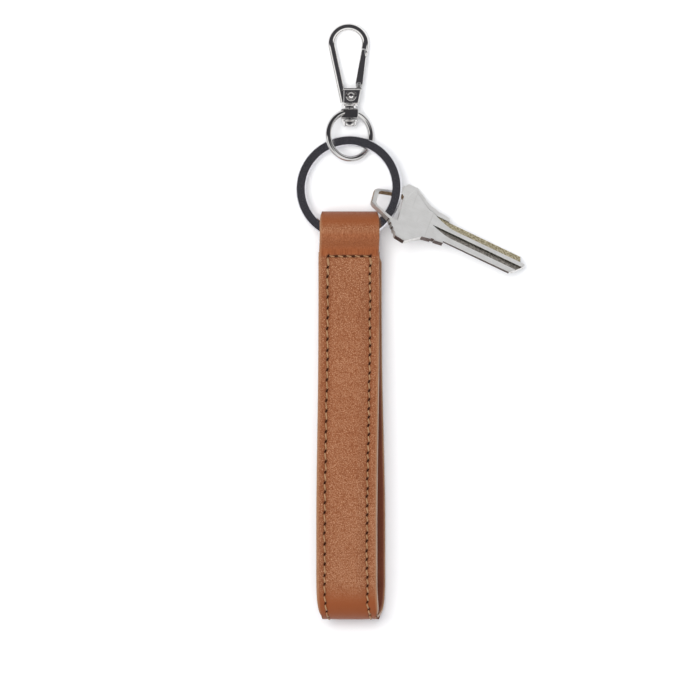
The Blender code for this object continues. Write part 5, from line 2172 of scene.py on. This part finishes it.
    def _casting(self) -> bpy.types.Mesh:
        """The whole casting, bored and cut for the post, the badge, the pin and the gate's lap.

        Returns:
            The mesh.
        """
        start = self.neck_bottom - self.overrun
        bore = Shapes.rod(self.bore, self.bore_end - start)
        bore.transform(upright((self.bore_end + start) / 2))
        recess = Shapes.rod(self.badge_radius, 2 * self.badge_depth, 0.0, self.badge_steps)
        recess.transform(Matrix.Translation((self.badge_x, self.badge_y, self.base_depth / 2)))
        hole = Shapes.rod(self.pin_radius + self.pin_clearance, self.gate_depth)
        hole.transform(Matrix.Translation(self._pin()))
        wide = self.gate_width
        low = Vector((-wide, -self.nose_lap - wide, -wide))
        lap = Shapes.block(low, Vector((self.nose_split, 0.0, wide)), self.lap_round)
        lap.transform(Matrix.Translation(self._nose()) @ Matrix.Rotation(self.gate_lean, 4, "Z"))
        made = Fusion(self._wire()).join(*self._base())
        return made.cut(recess).join(self._badge()).cut(bore, hole, lap).mesh((self.finishes.hook,))

    def _gate(self) -> bpy.types.Mesh:
        """The gate, its frame on the pin, with its length along Y.

        Returns:
            The mesh.
        """
        radius = self.gate_width / 2
        lap_x = self.nose_split - self.nose_gap
        lap_y = self.gate_length - self.nose_lap
        outline = [(radius, lap_y), (lap_x, lap_y), (lap_x, self.gate_length), (-radius, self.gate_length)]
        angles = [math.pi * (1.0 + i / self.gate_steps) for i in range(self.gate_steps + 1)]
        outline += [(radius * math.cos(angle), radius * math.sin(angle)) for angle in angles]
        half = self.gate_depth / 2
        bar = Shapes.plate(outline, -half, half, self.gate_round * self.gate_edge_share)
        low = Vector((-2 * radius, -2 * radius, -self.slot_half))
        slot = Shapes.block(low, Vector((2 * radius, self.slot_height - radius, self.slot_half)))
        hole = Shapes.rod(self.pin_radius + self.pin_clearance, 2 * self.gate_depth)
        return Fusion(bar).cut(slot, hole).mesh((self.finishes.hook,))

    def _spring(self) -> bpy.types.Mesh:
        """Coils round the pin with one leg to the base and one up the gate.

        Returns:
            The mesh.
        """
        z = self._tongue_z() + self.tongue_thickness / 2 + self.spring_gap + self.spring_wire
        steps = round(self.spring_steps * self.spring_turns)
        coil = []
        for i in range(steps + 1):
            turned = self.spring_turns * i / steps
            angle = math.pi + math.tau * turned
            out = Vector((math.cos(angle), math.sin(angle), 0.0)) * self.spring_radius
            coil.append(out + Vector((0.0, 0.0, z + self.spring_pitch * turned)))
        first = coil[0] + Vector((0.0, self.spring_leg, 0.0))
        last = coil[-1] - Vector((self.spring_leg / 2, 0.0, 0.0))
        tubes = Tubes(self.spring_sides)
        tubes.add([first] + coil + [last], [self.spring_wire] * (len(coil) + 2))
        return tubes.mesh("spring_coil", self.finishes.pin)

    def build(self) -> None:
        """Builds the casting, the gate, the pin and the spring."""
        place = self.layout.hook()
        pin = place @ Matrix.Translation(self._pin())
        gate = pin @ Matrix.Rotation(self.gate_lean, 4, "Z")
        mesh = self._casting()
        keep_flats(make_piece("hook_casting", mesh, "hook", "hook", "hook_body", place=place))
        mesh = self._gate()
        keep_flats(make_piece("gate_bar", mesh, "hook_gate", "hook", "gate", place=gate))
        rivet = Fusion(Shapes.rod(self.pin_radius, self.gate_depth, self.rivet_round))
        make_piece("gate_rivet", rivet.mesh((self.finishes.pin,)), "hook", "pin", "gate_pin", place=pin)
        make_piece("spring_coil", self._spring(), "hook", "pin", "gate_spring", place=pin)


@dataclass
class HouseKey(MetalPiece):
    """The house key, along X from the end of its bow."""

    length: float = 55.3 * MM
    thickness: float = 1.9 * MM
    edge_round: float = 0.14 * MM
    bow_end_half: float = 3.5 * MM
    bow_corner: float = 0.9 * MM
    neck: Span = (6.3 * MM, 5.6 * MM)
    wide_start: float = 10.6 * MM
    wide_end: float = 13.9 * MM
    wide_half: float = 11.0 * MM
    skew: float = 0.9 * MM
    waist: Span = (19.2 * MM, 6.5 * MM)
    shoulder: Span = (26.8 * MM, 5.2 * MM)
    notch_depth: float = 0.5 * MM
    bow_notches: int = 4
    bow_notch_share: float = 0.5
    shoulder_notches: int = 1
    shoulder_notch_share: float = 0.28
    hole_start: float = 1.5 * MM
    hole_end: float = 10.1 * MM
    hole_start_half: float = 3.2 * MM
    hole_end_half: float = 5.8 * MM
    hole_corner: float = 0.8 * MM
    panel_start: float = 11.4 * MM
    panel_end: float = 23.0 * MM
    panel_margin: float = 1.6 * MM
    panel_depth: float = 0.07 * MM
    panel_flare: float = 1.22
    lower_reach: float = 1.1
    blade_upper: float = 3.45 * MM
    blade_lower: float = -4.95 * MM
    tip_upper: float = 53.0 * MM
    tip_step: Span = (53.6 * MM, 1.4 * MM)
    tip_nose: Span = (1.0 * MM, 0.4 * MM)
    tip_lower: float = 51.2 * MM
    upper_groove: Span = (3.65 * MM, 1.1 * MM)
    lower_groove: Span = (-0.55 * MM, -2.75 * MM)
    back_groove: Span = (0.4 * MM, -2.0 * MM)
    groove_depth: float = 0.42 * MM
    upper_depth: float = 0.32 * MM
    relief_top: float = -3.4 * MM
    relief_land: float = 0.8 * MM
    groove_start: float = 21.8 * MM
    groove_run_in: float = 8.0 * MM
    groove_steps: int = 8
    level_normal: float = 0.8
    wall_normal: float = 0.4
    edge_normal: float = -0.975
    overrun: float = 1.0 * MM

    def _notched(self, start: Vector, end: Vector, count: int, share: float) -> list[Vector]:
        """An edge with square notches cut to its right.

        Args:
            start: where it starts.
            end: where it ends.
            count: how many notches it has.
            share: how much of the pitch a notch takes.

        Returns:
            The edge's points.
        """
        along = (end - start).normalized()
        inward = Vector((along.y, -along.x)) * self.notch_depth
        pitch = (end - start).length / (count + 1.0 - share)
        points = [start]
        for i in range(count):
            here = start + along * pitch * (i + 1.0 - share)
            there = start + along * pitch * (i + 1.0)
            points += [here, here + inward, there + inward, there]
        return points + [end]

    def _skewed(self, points: Iterable[Sequence[float]]) -> list[Vector]:
        """The bow's points, its two sides set a little apart along the key."""
        return [Vector((p[0] - self.skew * p[1] / self.wide_half, p[1])) for p in points]

    def _outline(self) -> list[Vector]:
        """One side of the bow with its notches, the blade, and the other side mirrored.

        Returns:
            The outline.
        """
        end = Vector((0.0, self.bow_end_half - self.bow_corner))
        corner = Vector((self.bow_corner, self.bow_end_half))
        wide = Vector((self.wide_start, self.wide_half))
        side = [end, corner] + self._notched(Vector(self.neck), wide, self.bow_notches, self.bow_notch_share)
        side.append(Vector((self.wide_end, self.wide_half)))
        waist, shoulder = Vector(self.waist), Vector(self.shoulder)
        side += self._notched(waist, shoulder, self.shoulder_notches, self.shoulder_notch_share)
        foot = self.shoulder[0]
        upper = self._skewed(side)
        upper += [Vector((foot, self.blade_upper)), Vector((self.tip_upper, self.blade_upper))]
        upper += [Vector(self.tip_step), Vector((self.length, self.tip_nose[0]))]
        lower = self._skewed((p.x, -p.y * self._reach(p.x)) for p in side)
        lower += [Vector((foot, self.blade_lower)), Vector((self.tip_lower, self.blade_lower))]
        lower.append(Vector((self.length, self.tip_nose[1])))
        return upper + lower[::-1]

    def _reach(self, x: float) -> float:
        """How much wider the bow's lower side is at this place along the key."""
        return blend(1.0, self.lower_reach, ease((x - self.neck[0]) / (self.wide_end - self.neck[0])))

    def _mirrored(self, half: Section) -> list[Vector]:
        """A closed outline from its upper half."""
        return self._skewed(half + [(x, -y) for x, y in reversed(half)])

    def _hole(self) -> list[Vector]:
        """A slot that widens towards the middle of the bow, with clipped corners.

        Returns:
            Its outline.
        """
        clip = self.hole_corner
        half = [
            (self.hole_start, self.hole_start_half - clip),
            (self.hole_start + clip, self.hole_start_half),
            (self.hole_end - clip, self.hole_end_half),
            (self.hole_end, self.hole_end_half - clip),
        ]
        return self._mirrored(half)

    def _panel(self) -> list[Vector]:
        """The sunk field of the bow.

        Returns:
            Its outline.
        """
        margin = self.panel_margin
        half = [
            (self.panel_start, self.hole_end_half),
            (self.panel_start + margin, self.wide_half - margin),
            (self.wide_end, self.wide_half - margin),
            (self.waist[0], self.waist[1] - margin),
            (self.panel_end, self.shoulder[1] - margin),
        ]
        return self._mirrored(half)

    def _groove(self, sides: tuple[float, float]) -> list[Vector]:
        """A milled groove that runs in along a curve from one point.

        Args:
            sides: its upper and lower side.

        Returns:
            Its outline.
        """
        top, bottom = sides
        end = self.length + self.overrun
        steps = self.groove_steps
        points = [(self.groove_start, top)]
        for i in range(1, steps + 1):
            share = math.sin(math.pi / 2 * i / steps)
            points.append((self.groove_start + self.groove_run_in * i / steps, blend(top, bottom, share)))
        return [Vector(point) for point in points + [(end, bottom), (end, top)]]

    def _look(self, polygon: bpy.types.MeshPolygon) -> int:
        """The finish of one of the key's faces.

        Args:
            polygon: the face.

        Returns:
            The material's index.
        """
        x, y, z = polygon.center
        up = polygon.normal.z
        sunk = self.thickness / 2 - self.groove_depth / 2
        if abs(up) > self.level_normal:
            if abs(z) > sunk:
                return KeyFace.FACE.value
            upper = y > self.upper_groove[1] and up > 0
            return KeyFace.UPPER_GROOVE.value if upper else KeyFace.LOWER_GROOVE.value
        if x < self.hole_end + self.overrun / 2 and abs(y) < self.hole_end_half:
            return KeyFace.HOLE.value if polygon.normal.y < 0 < y else KeyFace.SIDE.value
        # The lower walls of the bow's notches and of the blade take the dark edge colour, a painted shade
        if y < 0 and x < self.wide_start and polygon.normal.x > self.wall_normal:
            return KeyFace.EDGE.value
        if polygon.normal.y > self.edge_normal:
            return KeyFace.SIDE.value
        if y < self.relief_top - self.relief_land / 2:
            return KeyFace.EDGE.value
        grooved = self.relief_top / 2 < y < self.upper_groove[1]
        return KeyFace.LOWER_GROOVE.value if grooved else KeyFace.SIDE.value

    def build(self) -> None:
        """Builds the key."""
        face = self.thickness / 2
        blank = Shapes.plate(self._outline(), -face, face, self.edge_round)
        cuts = [Shapes.plate(self._hole(), -self.thickness, self.thickness)]
        panel = self._panel()
        flare = 1.0 + (self.panel_flare - 1.0) * self.overrun / self.length
        depth = face - self.panel_depth
        cuts.append(Shapes.plate(panel, depth, face + self.overrun, 0.0, self.panel_flare))
        cuts.append(Shapes.plate(panel, -depth, -face - self.overrun, 0.0, self.panel_flare * flare))
        for sides, sunk in ((self.upper_groove, self.upper_depth), (self.lower_groove, self.groove_depth)):
            cuts.append(Shapes.plate(self._groove(sides), face - sunk, face + self.overrun))
        back = self._groove(self.back_groove)
        cuts.append(Shapes.plate(back, -face - self.overrun, self.groove_depth - face))
        start, end = self.shoulder[0] + self.notch_depth, self.length + self.overrun
        low, high = self.blade_lower - self.overrun, self.relief_top
        relief = [Vector(corner) for corner in ((start, low), (end, low), (end, high), (start, high))]
        cuts.append(Shapes.plate(relief, -face - self.overrun, face - self.relief_land))
        mesh = Fusion(blank).cut(*cuts).mesh(self.finishes.key, self._look)
        keep_flats(make_piece("house_key", mesh, "house_key", "key", "key", place=self.layout.key()))


@dataclass
class Hardware:
    """The metal pieces."""

    layout: Layout = field(default_factory=Layout)

    def build(self, finishes: Finishes) -> None:
        """Builds the ring, the eye, the hook and the key.

        Args:
            finishes: the object's materials.
        """
        for kind in (SplitRing, SwivelEye, SnapHook, HouseKey):
            kind(self.layout, finishes).build()


@dataclass
class Studio:
    """The pale table, the soft lights and the camera."""

    pixel: float = 0.33 * MM
    frame_pixels: int = 700
    origin_x_pixel: float = 349.0
    origin_y_pixel: float = 450.0
    camera_height: float = 1.2
    floor_half: float = 9.0
    floor_z: float = -0.03 * MM
    ambient: Colour = (0.60, 0.62, 0.655)
    backdrop: Colour = (1.0, 1.0, 1.0)
    lamp: Colour = (1.0, 0.985, 0.965)
    dark: Colour = (0.063, 0.061, 0.068)
    low_front: Colour = (0.1, 0.095, 0.09)
    low_side: Colour = (0.2, 0.19, 0.185)
    low_back: Colour = (0.9, 0.9, 0.9)
    softbox: Colour = (1.1, 1.1, 1.1)
    table: Colour = (0.93, 0.93, 0.935)
    table_roughness: float = 0.9
    table_specular: float = 0.1
    light_place: tuple[float, float, float] = (-0.2, 0.13, 1.0)
    light_size: float = 0.68
    light_power: float = 8.8
    back_span: Span = (0.35, 0.7)
    front_span: Span = (-0.65, -0.8)
    low_span: Span = (0.3, 0.2)
    band_top: Span = (0.91, 0.86)
    band_bottom: Span = (0.27, 0.33)
    band_front: Span = (0.16, 0.03)
    least_square: float = 0.0001

    def build(self) -> None:
        """Builds the whole studio."""
        self._floor()
        self._world()
        self._light("overhead_light", self.light_place, self.light_size, self.light_power)
        self._camera()
        view = bpy.context.scene.view_settings
        view.view_transform = "Standard"
        view.look = "None"

    def _floor(self) -> None:
        """A large pale table top."""
        mesh = bpy.data.meshes.new("table_top")
        half = self.floor_half
        sides = ((-half, -half), (half, -half), (half, half), (-half, half))
        corners = [(x, y, self.floor_z) for x, y in sides]
        mesh.from_pydata(corners, [], [(0, 1, 2, 3)])
        material = bpy.data.materials.new("pale_table")
        material.use_nodes = True
        shader = material.node_tree.nodes["Principled BSDF"]
        shader.inputs["Base Color"].default_value = (*self.table, 1.0)
        shader.inputs["Roughness"].default_value = self.table_roughness
        shader.inputs["Specular IOR Level"].default_value = self.table_specular
        mesh.materials.append(material)
        table = bpy.data.objects.new("table_top", mesh)
        bpy.context.scene.collection.objects.link(table)

    def _world(self) -> None:
        """Even light from all round, and the softboxes and dark gaps that polished metal mirrors."""
        world = bpy.data.worlds.new("studio")
        bpy.context.scene.world = world
        world.use_nodes = True
        graph = Graph(world.node_tree)
        direction = graph.add("ShaderNodeTexCoord").outputs["Generated"]
        parts = graph.add("ShaderNodeSeparateXYZ", {0: direction}).outputs
        rise = parts["Z"]
        square = graph.math("SUBTRACT", 1.0, graph.math("MULTIPLY", rise, rise))
        flat = graph.math("SQRT", graph.math("MAXIMUM", square, self.least_square))
        toward_back = graph.math("DIVIDE", parts["Y"], flat)
        side = graph.mix(graph.fit(toward_back, *self.back_span), self.low_side, self.low_back)
        low = graph.mix(graph.fit(toward_back, *self.front_span), side, self.low_front)
        mirrored = graph.mix(graph.fit(rise, *self.low_span), self.dark, low)
        band = graph.math("MULTIPLY", graph.fit(rise, *self.band_top), graph.fit(rise, *self.band_bottom))
        front = graph.math("MULTIPLY", graph.fit(toward_back, *self.band_front), band)
        mirrored = graph.mix(front, mirrored, self.softbox)
        rays = graph.add("ShaderNodeLightPath").outputs
        around = graph.mix(rays["Is Glossy Ray"], self.ambient, mirrored)
        around = graph.mix(rays["Is Camera Ray"], around, self.backdrop)
        world.node_tree.links.new(around, world.node_tree.nodes["Background"].inputs["Color"])

    def _light(self, name: str, place: tuple[float, float, float], size: float, power: float) -> None:
        """Adds a square softbox aimed at the object.

        Args:
            name: the light's name.
            place: where it stands.
            size: the length of its sides.
            power: its power in watts.
        """
        data = bpy.data.lights.new(name, "AREA")
        data.size = size
        data.energy = power
        data.color = self.lamp
        light = bpy.data.objects.new(name, data)
        light.location = place
        light.rotation_euler = (-Vector(place)).to_track_quat("-Z", "Y").to_euler()
        light.visible_glossy = False
        bpy.context.scene.collection.objects.link(light)

    def _camera(self) -> None:
        """A camera that looks straight down, as the photograph does."""
        data = bpy.data.cameras.new("camera")
        data.type = "ORTHO"
        data.ortho_scale = self.frame_pixels * self.pixel
        camera = bpy.data.objects.new("camera", data)
        middle = self.frame_pixels / 2
        x = (middle - self.origin_x_pixel) * self.pixel
        y = (self.origin_y_pixel - middle) * self.pixel
        camera.location = (x, y, self.camera_height)
        bpy.context.scene.collection.objects.link(camera)
        bpy.context.scene.camera = camera


def main() -> None:
    """Builds the studio and every piece."""
    logging.basicConfig(level=logging.INFO, format="%(message)s")
    Studio().build()
    finishes = Finishes(Effects())
    LeatherStrap().build(finishes)
    Hardware().build(finishes)


if __name__ == "__main__":
    main()
